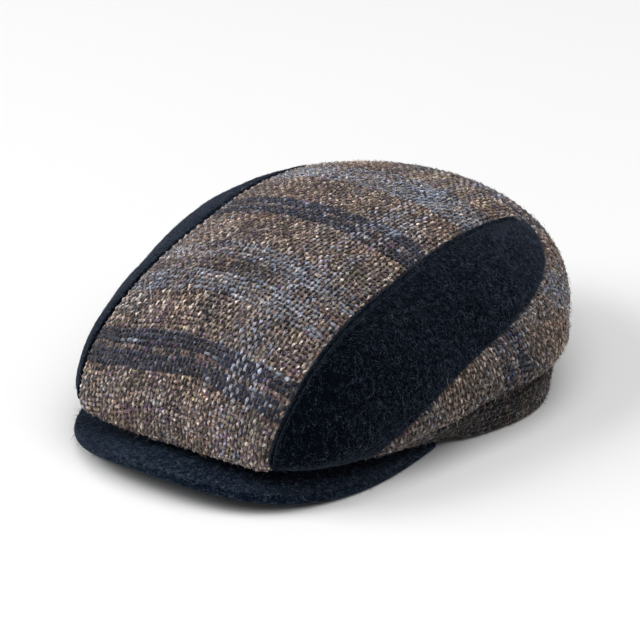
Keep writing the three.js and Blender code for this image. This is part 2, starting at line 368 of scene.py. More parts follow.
def splinePoints(corners, count):
    # a smooth line through a few corners, spaced by the root of their distance
    corners = np.asarray(corners, float)
    corners = np.vstack((2 * corners[0] - corners[1], corners, 2 * corners[-1] - corners[-2]))
    knots = np.concatenate(([0], np.cumsum(np.sqrt(np.linalg.norm(np.diff(corners, axis=0), axis=1)))))
    places = np.linspace(knots[1], knots[-2], count)
    points = []
    for t in places:
        k = min(max(int(np.searchsorted(knots, t, side="right")) - 1, 1), len(corners) - 3)
        p0, p1, p2, p3 = corners[k - 1:k + 3]
        t0, t1, t2, t3 = knots[k - 1:k + 3]
        a1 = (t1 - t) / (t1 - t0) * p0 + (t - t0) / (t1 - t0) * p1
        a2 = (t2 - t) / (t2 - t1) * p1 + (t - t1) / (t2 - t1) * p2
        a3 = (t3 - t) / (t3 - t2) * p2 + (t - t2) / (t3 - t2) * p3
        b1 = (t2 - t) / (t2 - t0) * a1 + (t - t0) / (t2 - t0) * a2
        b2 = (t3 - t) / (t3 - t1) * a2 + (t - t1) / (t3 - t1) * a3
        points.append((t2 - t) / (t2 - t1) * b1 + (t - t1) / (t2 - t1) * b2)
    return np.array(points)


def evenly(points, count):
    along = lengthsAlong(points, 0)
    places = np.linspace(0, along[-1], count)
    return np.stack([np.interp(places, along, points[:, k]) for k in range(points.shape[1])], -1)


centre = centreCloth()
side = sideCloth()
print("cloth grids", centre["points"].shape, side["points"].shape)


# where the seams lie on the side cloth, as (along the belt, up from the hem)
def onSide(points):
    direction, rise, _ = directionAndRise(points)
    along = np.interp(direction, side["directions"], side["us"])
    return np.stack((along, lookUp(fromHemByRise, direction, rise)), -1)


seamSteps = {
    "section": 601, "spline": 400, "edge": 161, "front": 9, "slice": 300, "sliceFrom": -23, "sliceTo": 203,
    "frontIn": 2.5, "frontDirection": 54.0, "overHem": 0.2,
}


def seamLines():
    # the insert's lower edge, its front end, and the seam of the centre panel
    corners = []
    rows = np.linspace(0, 3, seamSteps["section"])
    for direction, height in insertEdge:
        heights = crownSection(np.full(len(rows), float(direction)), rows)[1]
        corners.append(crownPoint(direction, np.interp(-height, -heights, rows)))
    corners = np.array(corners)
    spline = evenly(splinePoints(corners[:, 1:], seamSteps["spline"]), seamSteps["edge"])
    edge = onSide(onCrownAt(spline[:, 0], spline[:, 1]))
    first = corners[0]
    frontY = np.full(seamSteps["front"], first[1] - seamSteps["frontIn"])
    lowest = float(hemHeight(seamSteps["frontDirection"])) + seamSteps["overHem"]
    front = onSide(onCrownAt(frontY, np.linspace(lowest, first[2], seamSteps["front"])))
    front[0, 1] = 0
    sideAngles = np.linspace(seamSteps["sliceFrom"], seamSteps["sliceTo"], seamSteps["slice"])
    seam = onSide(slicePoint(1, sideAngles))
    middle = int(np.argmax(seam[:, 1]))
    frontSeam, backSeam = seam[:middle], seam[middle:]
    frontSeam = frontSeam[np.argmin(frontSeam[:, 1]):]
    backSeam = backSeam[:np.argmin(backSeam[:, 1]) + 1]
    return edge, front, np.vstack((frontSeam, backSeam))


def meeting(lineA, lineB):
    gaps = np.linalg.norm(lineA[:, None] - lineB[None], axis=2)
    return np.unravel_index(np.argmin(gaps), gaps.shape)


lowestUp = float(side["vs"][0])
edgeLine, frontLine, seamLine = seamLines()
atEdge, atSeam = meeting(edgeLine, seamLine)
edgeLine = edgeLine[:atEdge + 1]
edgeLine[-1] = seamLine[atSeam]


def downToTurnUp(line):
    # the line's foot, carried on round the hem
    return np.vstack(((line[0, 0], lowestUp), line[line[:, 1] > 0]))


frontLine = downToTurnUp(frontLine)
upperSeam = downToTurnUp(seamLine[:atSeam + 1])
backSeam = downToTurnUp(seamLine[atSeam:][::-1])
lowerSeam = np.vstack((frontLine, edgeLine))


def insideOutline(outline, points):
    x, y = points[:, 0][:, None], points[:, 1][:, None]
    ax, ay = outline[:, 0], outline[:, 1]
    bx, by = np.roll(ax, -1), np.roll(ay, -1)
    straddles = (ay > y) != (by > y)
    crossing = ax + (y - ay) / np.where(by == ay, 1e-9, by - ay) * (bx - ax)
    return (np.sum(straddles & (x < crossing), axis=1) % 2) == 1


def lineDistance(line, points):
    a, b = line[:-1], line[1:]
    span = b - a
    share = np.sum((points[:, None] - a) * span, axis=2) / np.maximum(np.sum(span * span, axis=1), 1e-9)
    nearest = a + np.clip(share, 0, 1)[..., None] * span
    return np.min(np.linalg.norm(points[:, None] - nearest, axis=2), axis=1)


sideOutline = np.vstack((lowerSeam, backSeam[::-1]))
print("seams found", len(lowerSeam), len(upperSeam), len(backSeam))


# shader building
class Wire:
    # a socket that takes part in arithmetic
    def __init__(self, finish, socket):
        self.finish = finish
        self.socket = socket

    def math(self, operation, a, b):
        return self.finish.node("ShaderNodeMath", {"operation": operation}, {0: a, 1: b})

    def __add__(self, other):
        return self.math("ADD", self, other)

    def __radd__(self, other):
        return self.math("ADD", other, self)

    def __sub__(self, other):
        return self.math("SUBTRACT", self, other)

    def __rsub__(self, other):
        return self.math("SUBTRACT", other, self)

    def __mul__(self, other):
        return self.math("MULTIPLY", self, other)

    def __rmul__(self, other):
        return self.math("MULTIPLY", other, self)


class Finish:
    # a material, built node by node
    def __init__(self, name):
        self.material = bpy.data.materials.new(name)
        self.material.use_nodes = True
        self.tree = self.material.node_tree
        self.tree.nodes.clear()

    def node(self, kind, settings=None, values=None, output=0):
        made = self.tree.nodes.new(kind)
        for key, value in (settings or {}).items():
            setattr(made, key, value)
        for key, value in (values or {}).items():
            if isinstance(value, Wire):
                self.tree.links.new(value.socket, made.inputs[key])
            else:
                made.inputs[key].default_value = value
        return Wire(self, made.outputs[output])

    def objectPlace(self):
        return self.node("ShaderNodeTexCoord", output=3)

    def clothPlace(self, name="OFBake"):
        return self.node("ShaderNodeUVMap", {"uv_map": name})

    def parts(self, vector):
        split = self.node("ShaderNodeSeparateXYZ", values={0: vector})
        owner = split.socket.node
        return [Wire(self, owner.outputs[i]) for i in range(3)]

    def vector(self, x, y, z):
        return self.node("ShaderNodeCombineXYZ", values={0: x, 1: y, 2: z})

    def attribute(self, name, output=0):
        return self.node("ShaderNodeAttribute", {"attribute_name": name}, output=output)

    def sine(self, value):
        return self.node("ShaderNodeMath", {"operation": "SINE"}, {0: value})

    def ridge(self, value, middle, steepness):
        # one along the level where the value passes its middle, falling off to both sides
        return 1 - self.node("ShaderNodeMath", {"operation": "ABSOLUTE"}, {0: (value - middle) * steepness})

    def noise(self, place, scale, detail=3.0, roughness=0.5, distortion=0.0):
        values = {"Vector": place, "Scale": scale, "Detail": detail, "Roughness": roughness,
                  "Distortion": distortion}
        return self.node("ShaderNodeTexNoise", values=values)

    def between(self, value, low, high):
        settings = {"interpolation_type": "SMOOTHSTEP"}
        return self.node("ShaderNodeMapRange", settings, {"Value": value, "From Min": low, "From Max": high})

    def mix(self, share, colourA, colourB, blend="MIX"):
        settings = {"data_type": "RGBA", "blend_type": blend}
        return self.node("ShaderNodeMix", settings, {0: share, 6: colourA, 7: colourB}, output=2)

    def bump(self, height, strength, distance):
        values = {"Strength": strength, "Distance": distance, "Height": height}
        return self.node("ShaderNodeBump", values=values)

    def done(self, values):
        shader = self.node("ShaderNodeBsdfPrincipled", values=values)
        end = self.tree.nodes.new("ShaderNodeOutputMaterial")
        self.tree.links.new(shader.socket, end.inputs["Surface"])
        return self.material


def yarnFinish(name, strips, length):
    # spun wool: fibres wind round the yarn; painted shade darkens the hollows between the crowns and the
    # sides of each strip, so the crown tops read lighter
    finish = Finish(name)
    across, along, _ = finish.parts(finish.clothPlace())
    around = across * strips
    run = along * length
    wound = finish.vector(run * 0.6, around * 2.6 + run * 0.8, around * 0.31)
    streak = finish.noise(wound, scale=1.3, detail=2.0, roughness=0.6)
    ply = finish.sine((around * 2.2 + run * 0.34) * math.tau)
    dye = finish.attribute("dye")
    lift = finish.attribute("lift", 2)
    middle = finish.node("ShaderNodeMath", {"operation": "FRACT"}, {0: around})
    crest = finish.between(finish.sine(middle * math.pi), 0.35, 1.0)
    strand = finish.between(streak, 0.3, 0.7)
    # painted shade: lift darkens a yarn where it dips under a crossing, crest lightens the top of each strip
    # and darkens its sides; strand is the fibres' own streaks
    shade = (0.12 + 1.04 * lift) * (0.34 + 0.98 * crest) * (0.36 + 1.28 * strand)
    colour = finish.mix(1.0, dye, finish.vector(shade, shade, shade), "MULTIPLY")
    height = streak * 0.6 + ply * 0.25
    return finish.done({
        "Base Color": colour, "Roughness": 0.86, "Specular IOR Level": 0.25,
        "Sheen Weight": 0.35, "Sheen Roughness": 0.45, "Sheen Tint": (0.9, 0.84, 0.76, 1),
        "Normal": finish.bump(height, strength=0.5, distance=0.0004),
    })


def hairFinish(name, sheen):
    finish = Finish(name)
    fleck = finish.noise(finish.objectPlace(), scale=600.0, detail=2.0)
    shade = 0.8 + 0.4 * fleck
    colour = finish.mix(1.0, finish.attribute("dye"), finish.vector(shade, shade, shade), "MULTIPLY")
    return finish.done({
        "Base Color": colour, "Roughness": 0.7, "Specular IOR Level": 0.3,
        "Sheen Weight": sheen, "Sheen Roughness": 0.4,
    })


def feltFinish(name, toneAndPaintedLight):
    # milled navy wool: short fine fibres lie every way in it
    # toneAndPaintedLight scales every colour of the felt: its own tone, and for the peak painted light
    def toned(r, g, b):
        return (r * toneAndPaintedLight, g * toneAndPaintedLight, b * toneAndPaintedLight, 1)
    finish = Finish(name)
    place = finish.objectPlace()
    cloud = finish.noise(place, scale=70.0, detail=3.0)
    grain = finish.noise(place, scale=1100.0, detail=3.0, roughness=0.65, distortion=0.4)
    curl = finish.noise(place, scale=430.0, detail=1.5, roughness=0.5, distortion=1.6)
    fineCurl = finish.noise(place, scale=760.0, detail=1.0, roughness=0.5, distortion=1.4)
    coarse = finish.between(finish.ridge(curl, 0.5, 15.0), 0.1, 1.0)
    fine = finish.between(finish.ridge(fineCurl, 0.52, 11.0), 0.2, 1.0)
    patches = finish.between(finish.noise(place, scale=420.0, detail=2.0), 0.42, 0.66)
    fibre = coarse * (0.25 + 0.75 * patches) + fine * 0.55
    clouds = finish.between(cloud, 0.3, 0.7)
    dark = finish.mix(clouds, toned(0.0008, 0.0025, 0.006), toned(0.0015, 0.0038, 0.0088))
    body = finish.mix(finish.between(grain, 0.4, 0.75), dark, toned(0.0035, 0.0085, 0.018))
    colour = finish.mix(finish.between(fibre, 0.42, 1.3) * 0.9, body, toned(0.075, 0.115, 0.165))
    height = grain * 0.9 + fibre * 0.5
    return finish.done({
        "Base Color": colour, "Roughness": 0.95, "Specular IOR Level": 0.03,
        "Sheen Weight": 0.36, "Sheen Roughness": 0.12, "Sheen Tint": (0.55, 0.68, 1.0, 1),
        "Normal": finish.bump(height, strength=0.8, distance=0.0006),
    })


def clothBackFinish():
    # the tweed's own body between the yarns, and its reverse inside the cap; its dark colour is partly
    # painted shade for the depth of the weave between the yarns
    finish = Finish("tweedBack")
    across, along, _ = finish.parts(finish.clothPlace("clothMap"))
    warpWave = finish.sine(across * (math.pi / weave["warpSpacing"]))
    check = warpWave * finish.sine(along * (math.pi / weave["weftPitch"]))
    fleck = finish.noise(finish.objectPlace(), scale=520.0, detail=3.0, roughness=0.6)
    wide = finish.noise(finish.objectPlace(), scale=60.0, detail=3.0)
    # painted shade: these browns are kept dark so the weave's gaps read as shade
    yarnA = finish.mix(finish.between(fleck, 0.3, 0.7), (0.05, 0.032, 0.02, 1), (0.15, 0.105, 0.07, 1))
    yarnB = finish.mix(finish.between(wide, 0.4, 0.6), (0.03, 0.022, 0.017, 1), (0.035, 0.04, 0.055, 1))
    colour = finish.mix(finish.between(check, -0.25, 0.25), yarnB, yarnA)
    return finish.done({
        "Base Color": colour, "Roughness": 0.9, "Specular IOR Level": 0.2,
        "Sheen Weight": 0.2, "Sheen Roughness": 0.5,
        "Normal": finish.bump(check * 0.6 + fleck * 0.5, strength=0.6, distance=0.0006),
    })


def threadFinish():
    finish = Finish("navyThread")
    twist = finish.noise(finish.objectPlace(), scale=1600.0, detail=2.0)
    colour = finish.mix(twist, (0.004, 0.006, 0.012, 1), (0.016, 0.022, 0.04, 1))
    return finish.done({
        "Base Color": colour, "Roughness": 0.55, "Specular IOR Level": 0.35,
        "Normal": finish.bump(twist, strength=0.4, distance=0.0002),
    })


# piece building
def inScene(name, data):
    added = bpy.data.objects.new(name, data)
    bpy.context.scene.collection.objects.link(added)
    return added


def addPiece(name, mesh, finish, node=None):
    piece = inScene(name, mesh)
    mesh.materials.append(finish)
    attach(piece, "root")
    if node:
        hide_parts(node)
    return piece


def gridMesh(name, columns, rows, size=1, leftOut=()):
    # quads numbered row by row, some left out, to be given their real places
    shape = bmesh.new()
    bmesh.ops.create_grid(shape, x_segments=columns, y_segments=rows, size=size)
    shape.faces.ensure_lookup_table()
    bmesh.ops.delete(shape, geom=[shape.faces[k] for k in leftOut], context="FACES")
    mesh = bpy.data.meshes.new(name)
    shape.to_mesh(mesh)
    shape.free()
    return mesh


def setMap(mesh, name, places):
    # cloth coordinates of a mesh, given by vertex
    corners = np.zeros(len(mesh.loops), np.int32)
    mesh.loops.foreach_get("vertex_index", corners)
    mesh.uv_layers.new(name=name).data.foreach_set("uv", places[corners].astype(np.float32).ravel())


def setPlaces(mesh, points):
    mesh.vertices.foreach_set("co", (points * mm).astype(np.float32).ravel())


slips = (
    {"turn": -5.5, "direction": -42, "spread": 26, "lowest": 40, "highest": 78},
    {"turn": -2.9, "direction": 40, "spread": 17, "lowest": 24, "highest": 56},
)


def leaned(points):
    # the front of the centre panel has slipped towards the wearer's right
    directions, rises, _ = directionAndRise(points)
    directions = (directions + 180) % 360 - 180
    turned = directions
    for slip in slips:
        share = hump(directions, slip["direction"], slip["spread"])
        share = share * (1 - smoothStep(points[..., 2], slip["lowest"], slip["highest"]))
        turned = turned + slip["turn"] * share
    scale = lookUp(awayByRise, turned, rises) / lookUp(awayByRise, directions, rises)
    angle = np.radians(turned - directions)
    x, y, z = np.moveaxis(points - crownMiddle, -1, 0)
    x, y = x * np.cos(angle) - y * np.sin(angle), x * np.sin(angle) + y * np.cos(angle)
    return np.stack((x, y, z), -1) * scale[..., None] + crownMiddle


tube = {"stripStart": 0.05, "stripWidth": 0.9, "weld": 2e-7}


def tubePiece(name, parts, counts, sides, finish, mirrored=False, strips=True):
    # one piece of many tubes that follow their stations, each closed at both ends
    counts = np.asarray(counts)
    ends = np.cumsum(counts)
    starts = ends - counts
    points = parts["points"]
    ahead, behind = np.roll(points, -1, axis=0), np.roll(points, 1, axis=0)
    ahead[ends - 1] = points[ends - 1]
    behind[starts] = points[starts]
    run = unit(ahead - behind)
    steps = np.linalg.norm(points - np.roll(points, 1, axis=0), axis=1)
    steps[starts] = 0
    length = np.cumsum(steps)
    length = length - np.repeat(length[starts], counts)
    normals = unit(parts["normals"] - run * np.sum(run * parts["normals"], axis=1, keepdims=True))
    across = np.cross(run, normals)
    # a ring of no size before the first station and after the last one closes each tube
    total = int(counts.sum()) + 2 * len(counts)
    firstRings = starts + 2 * np.arange(len(counts))
    lastRings = ends + 2 * np.arange(len(counts)) + 1
    size = np.ones(total)
    size[firstRings] = size[lastRings] = 0
    source = np.zeros(total, int)
    source[size > 0] = np.arange(len(points))
    source[firstRings] = starts
    source[lastRings] = ends - 1
    turn = math.pi + math.tau * np.arange(sides + 1) / sides
    high = (parts["thick"][source] * size)[:, None, None] * np.cos(turn)[None, :, None]
    wide = (parts["wide"][source] * size)[:, None, None] * np.sin(turn)[None, :, None]
    rings = points[source][:, None] + normals[source][:, None] * high + across[source][:, None] * wide
    if mirrored:
        rings = rings * (-1, 1, 1)
    if not name.startswith("peak"):
        rings = leaned(rings)
    bridges = [int(ring) * sides + k for ring in lastRings[:-1] for k in range(sides)]
    mesh = gridMesh(name, sides, total - 1, leftOut=bridges)
    setPlaces(mesh, rings)
    around = sides + 1
    # the colour attribute: the wool's dye, and for the side yarns also the painted shade of the fold, the
    # low band and the side's front
    dye = np.ones((total * around, 4), np.float32)
    dye[:, :3] = np.repeat(parts["dye"][source], around, axis=0)
    mesh.attributes.new("dye", "FLOAT_COLOR", "POINT").data.foreach_set("color", dye.ravel())
    if strips:
        # lift: how high each station rides in the weave; the yarn finish paints shade from it
        lift = np.repeat(parts["lift"][source], around).astype(np.float32)
        mesh.attributes.new("lift", "FLOAT", "POINT").data.foreach_set("value", lift)
        chain = np.repeat(np.arange(len(counts)), counts + 2)
        share = tube["stripStart"] + tube["stripWidth"] * np.arange(around)[None, :] / sides
        u = (chain[:, None] + share) / len(counts)
        v = np.repeat(length[source][:, None], around, axis=1) / length.max()
        setMap(mesh, "OFBake", np.stack((u.ravel(), v.ravel()), -1))
    shape = bmesh.new()
    shape.from_mesh(mesh)
    bmesh.ops.remove_doubles(shape, verts=shape.verts, dist=tube["weld"])
    if mirrored:
        bmesh.ops.reverse_faces(shape, faces=shape.faces)
    for face in shape.faces:
        face.smooth = True
    shape.to_mesh(mesh)
    shape.free()
    print(name, "tubes", len(counts), "faces", len(mesh.polygons))
    if callable(finish):
        finish = finish(len(counts), float(length.max()))
    return addPiece(name, mesh, finish)


def sheetPiece(name, points, normals, places, thickness, finish, node, mirrored=False):
    # a cloth wall from a grid of points: its outer face, thickened inwards
    rows, columns = points.shape[:2]
    mesh = gridMesh(name, columns - 1, rows - 1)
    facing = np.cross(np.gradient(points, axis=1), np.gradient(points, axis=0))
    turned = np.sum(facing * normals) < 0
    if mirrored:
        points = points * (-1, 1, 1)
        turned = not turned
    setPlaces(mesh, leaned(points))
    setMap(mesh, "clothMap", places.reshape(-1, 2))
    if turned:
        mesh.flip_normals()
    mesh.shade_smooth()
    piece = addPiece(name, mesh, finish, node)
    wall = piece.modifiers.new("wall", "SOLIDIFY")
    wall.thickness = thickness * mm
    wall.offset = -1
    return piece


def edgeDrop(distance, reach, depth):
    # how far cloth sinks as it rolls into a seam
    t = np.clip(1 - distance / reach, 0, 1)
    return depth * (1 - np.sqrt(1 - t * t))


# colours of the wool, and the plaid
dyeing = {
    "depth": 0.74, "spread": 0.34, "hold": 0.45, "bandHold": 0.7,
    "navyOnPale": 0.55, "navyOnGround": 0.78, "blueOnPale": 0.85, "blueOnGround": 0.72,
    # navyAndShadeLowDown: navy pulled into side uprights low down, partly the plaid and partly painted shade
    # of the low band
    "navyAndShadeLowDown": 0.8, "lowShare": 0.5,
}
wool = {
    "tan": (0.35, 0.265, 0.226), "cream": (0.60, 0.51, 0.45), "brown": (0.16, 0.112, 0.098),
    "darkBrown": (0.046, 0.034, 0.032), "rust": (0.225, 0.145, 0.108), "olive": (0.23, 0.20, 0.12),
    "plum": (0.15, 0.088, 0.14), "lilac": (0.38, 0.37, 0.475), "blueGrey": (0.205, 0.235, 0.30),
    "navy": (0.011, 0.015, 0.036), "grey": (0.25, 0.235, 0.225), "ink": (0.026, 0.031, 0.058),
    "paleBlue": (0.38, 0.425, 0.52),
}
blends = {
    "groundWarp": (
        ("tan", 40), ("cream", 22), ("brown", 24), ("grey", 5), ("rust", 3), ("olive", 4), ("plum", 5),
    ),
    "groundWeft": (
        ("brown", 32), ("tan", 6), ("darkBrown", 46), ("olive", 4), ("rust", 3), ("grey", 4), ("plum", 5),
    ),
    "plumWarp": (("plum", 46), ("brown", 26), ("darkBrown", 10), ("tan", 12), ("rust", 6)),
    "lilacWarp": (("lilac", 52), ("paleBlue", 12), ("blueGrey", 14), ("tan", 14), ("cream", 8)),
    "blueWarp": (("blueGrey", 42), ("lilac", 13), ("grey", 20), ("brown", 13), ("ink", 12)),
    "blueWeft": (("blueGrey", 42), ("grey", 18), ("ink", 24), ("lilac", 6), ("brown", 10)),
    "navyWeft": (("navy", 60), ("ink", 30), ("blueGrey", 8), ("plum", 2)),
    "mixedWeft": (("brown", 30), ("darkBrown", 30), ("ink", 33), ("plum", 7)),
    "navyWarp": (("ink", 50), ("navy", 36), ("brown", 2), ("plum", 2), ("blueGrey", 10)),
    "paleWarp": (("paleBlue", 26), ("lilac", 26), ("blueGrey", 28), ("ink", 20)),
    "greyWarp": (("grey", 26), ("tan", 28), ("brown", 26), ("cream", 10), ("rust", 2), ("darkBrown", 8)),
    "greyWeft": (("brown", 30), ("grey", 14), ("darkBrown", 42), ("tan", 8), ("ink", 6)),
}
weave = {
    "warpSpacing": 2.043, "weftPitch": 2.8, "warpHigh": 0.48, "weftHigh": 0.24,
    "plyAcross": 0.44, "plyHigh": 0.22, "plyTurn": 5.2, "plyWide": 0.49, "plyThick": 0.43, "plyMargin": 0.45,
    "warpLevel": -0.84, "weftLevel": -1.0, "weftWide": 0.98, "weftThick": 0.5,
    "slub": 0.17, "sizeSpread": 0.08, "strayAcross": 0.09, "strayHigh": 0.07, "navyFlatness": 0.25,
    "weftSlub": 0.16, "weftHighNavy": 0.2, "weftWideNavy": 0.14, "weftCrownWide": 0.08, "plyCrownWide": 0.14,
    "strayAlong": 0.14, "strayWeft": 0.06, "sideStray": 0.12, "sideTop": 100,
    "seamReach": 2.6, "seamDrop": 1.3, "sideSeamReach": 2.2, "sideSeamDrop": 1.2, "settledWithin": 1.5,
    "bow": -6.0, "bowAt": -97, "bowCentre": -10, "bowHalfWidth": 68, "bowLength": 45,
}
swelling = {
    "height": 1.5, "inFromSeam": 7, "width": 6.5, "starts": 95, "full": 130, "fades": 163, "ends": 172,
}
looseness = {"shortest": 9, "longest": 42, "strength": 0.008, "waves": 16, "heldWithin": 4}
mottle = {"warm": 0.07, "light": 0.15, "shift": 50, "stretch": 0.7}


def wander(seed):
    # slow unevenness of a loose weave, in mm, over the cloth's own coordinates
    random = np.random.default_rng(seed)
    count = looseness["waves"]
    sizes = random.uniform(looseness["shortest"], looseness["longest"], count)
    ways = unit(random.normal(0, 1, (count, 2))) * (math.tau / sizes)[:, None]
    starts = random.uniform(0, math.tau, (count, 2))
    strength = looseness["strength"] * sizes

    def moved(u, v):
        turns = np.multiply.outer(u, ways[:, 0]) + np.multiply.outer(v, ways[:, 1])
        return [np.sum(strength * np.sin(turns + starts[:, k]), -1) for k in range(2)]
    return moved


topWander = wander(3)
sideWander = wander(4)


def mottled(moved, u, v):
    # patches of warmer and of greyer wool
    warm, light = moved(u * mottle["stretch"] + mottle["shift"], v * mottle["stretch"])
    warm, light = mottle["warm"] * warm, 1 + mottle["light"] * light
    return np.stack((light + warm, light, light - warm), -1)


def pillow(u, v):
    # the centre panel swells over its seams at the front
    inside = crown["halfWidth"] - np.abs(u)
    swell = swelling["height"] * hump(inside, swelling["inFromSeam"], swelling["width"])
    swell = swell * smoothStep(inside, 0, 3) * smoothStep(-v, swelling["starts"], swelling["full"])
    return swell * (1 - smoothStep(-v, swelling["fades"], swelling["ends"]))


def topPlace(u, v):
    # where the weave's own grid comes to lie: bowed across the front, held at the seams
    inside = crown["halfWidth"] - np.abs(u)
    held = np.clip(inside / looseness["heldWithin"], 0, 1)
    du, dv = topWander(u, v)
    bow = weave["bow"] * (1 - ((u - weave["bowCentre"]) / weave["bowHalfWidth"]) ** 2)
    bow = bow * smoothStep(inside, -4, 22) * hump(v, weave["bowAt"], weave["bowLength"])
    return u + held * du, v + dv + bow


def slubs(count, random, amount):
    # thick and thin places that run on for a few crossings
    loose = random.normal(0, 1, count + 4)
    return np.exp(amount * np.convolve(loose, np.ones(5) / math.sqrt(5), "valid"))


def twisted(count, random):
    # how far two plies have turned round each other at each station
    step = -math.tau * weave["weftPitch"] / 2 / weave["plyTurn"]
    return random.uniform(0, math.tau) + np.cumsum(random.normal(step, 0.25, count))


def dyed(blend, count, random, keep=dyeing["hold"]):
    # spun colours along one yarn, each holding for a crossing or more
    names = [name for name, _ in blends[blend]]
    chances = np.array([chance for _, chance in blends[blend]], float)
    picked = random.choice(len(names), size=count, p=chances / chances.sum())
    for k in range(1, count):
        if random.random() < keep:
            picked[k] = picked[k - 1]
    colours = np.array([wool[name] for name in names])[picked]
    return colours * dyeing["depth"] * np.exp(random.normal(0, dyeing["spread"], (count, 1)))


def bandAt(value, bands):
    # the blend and the share of the band that holds this value
    for low, high, blend, share in bands:
        if low <= value < high:
            return blend, share
    return None, 0


# Bands over the top panel. Shares of the half width for warps, mm from the top for wefts.
topWarpBands = (
    (-0.96, -0.66, "blueWarp", 0.3), (-0.43, -0.35, "plumWarp", 0.85), (-0.24, -0.17, "plumWarp", 0.75),
    (-0.15, 0.1, "navyWarp", 0.26), (0.22, 0.42, "blueWarp", 0.3), (0.42, 0.56, "lilacWarp", 0.7),
    (0.54, 0.64, "blueWarp", 0.25), (0.65, 0.70, "lilacWarp", 0.75), (0.86, 0.93, "plumWarp", 0.5),
)
topWeftBands = (
    (-172, -144, "blueWeft", 0.4), (-136, -127, "plumWarp", 0.6), (-107, -98.6, "navyWeft", 1.0),
    (-98.6, -95.8, "mixedWeft", 1.0), (-95.8, -87.6, "navyWeft", 1.0), (-66, -52, "blueWeft", 1.0),
    (-52, -45, "mixedWeft", 0.6), (-45, -30, "blueWeft", 0.9), (5, 12, "navyWeft", 1.0),
    (12, 15.5, "mixedWeft", 0.7), (15.5, 22, "navyWeft", 1.0), (58, 84, "blueWeft", 1.0),
    (116, 122, "navyWeft", 1.0), (126, 133, "navyWeft", 1.0), (166, 190, "blueWeft", 0.7),
)
# Bands round the side panels: the direction for uprights, mm up from the hem for level yarns.
sideWarpBands = (
    (54, 64, "plumWarp", 0.3), (66, 76, "lilacWarp", 0.45), (97, 101, "navyWarp", 0.95),
    (101, 103, "plumWarp", 0.6), (103, 107, "navyWarp", 0.95), (124, 132, "blueWarp", 0.8),
    (138, 142, "plumWarp", 0.5), (148, 154, "navyWarp", 0.8),
)
sideWeftBands = ((3, 9, "navyWeft", 0.6), (11, 17, "navyWeft", 0.8), (50, 62, "blueWeft", 0.5))
# the fold over the low band: ridge and depth lift the cloth; shade, frontShade, foldShade and bandShade are
# painted shade
sideFold = {
    "starts": 52, "full": 72, "fades": 122, "ends": 146,
    "ridge": 1.5, "ridgeAt": 8, "ridgeWidth": 4.5, "depth": 2.8, "depthAt": -0.5, "depthWidth": 3.2,
    "darkBelow": 19, "shade": 0.85, "frontShade": 0.82, "sideFrom": 86, "sideFull": 118,
    "foldShade": 0.62, "foldShadeAt": -1, "foldShadeWidth": 6, "bandShade": 0.55, "bandShadeWidth": 8,
}
creaseColumn = int(np.argmin(np.abs(tableRows - 2)))


def yarnDyes(count, place, ground, bands, random):
    # the colours along one yarn that lies at this place in the plaid
    blend, share = bandAt(place, bands)
    colours = dyed(ground, count, random)
    if blend:
        taken = random.random(count) < share
        colours = np.where(taken[:, None], dyed(blend, count, random, dyeing["bandHold"]), colours)
    return colours, blend


def pulledTowards(colours, others, share):
    return colours * (1 - share[:, None]) + others * share[:, None]


def yarnPart(cloth, u, v, lift, phase, wide, thick, dyesAndPaintedShade):
    # the stations of one yarn that lies on a cloth
    points, normals = onCloth(cloth, u, v)
    return {
        "points": points + normals * lift[:, None], "normals": normals, "wide": wide, "thick": thick,
        # lift here is one on a crown and nothing under a crossing, used only for painted shade in the yarn
        # finish
        "lift": np.clip(phase * 0.5 + 0.5, 0, 1), "dye": dyesAndPaintedShade,
    }


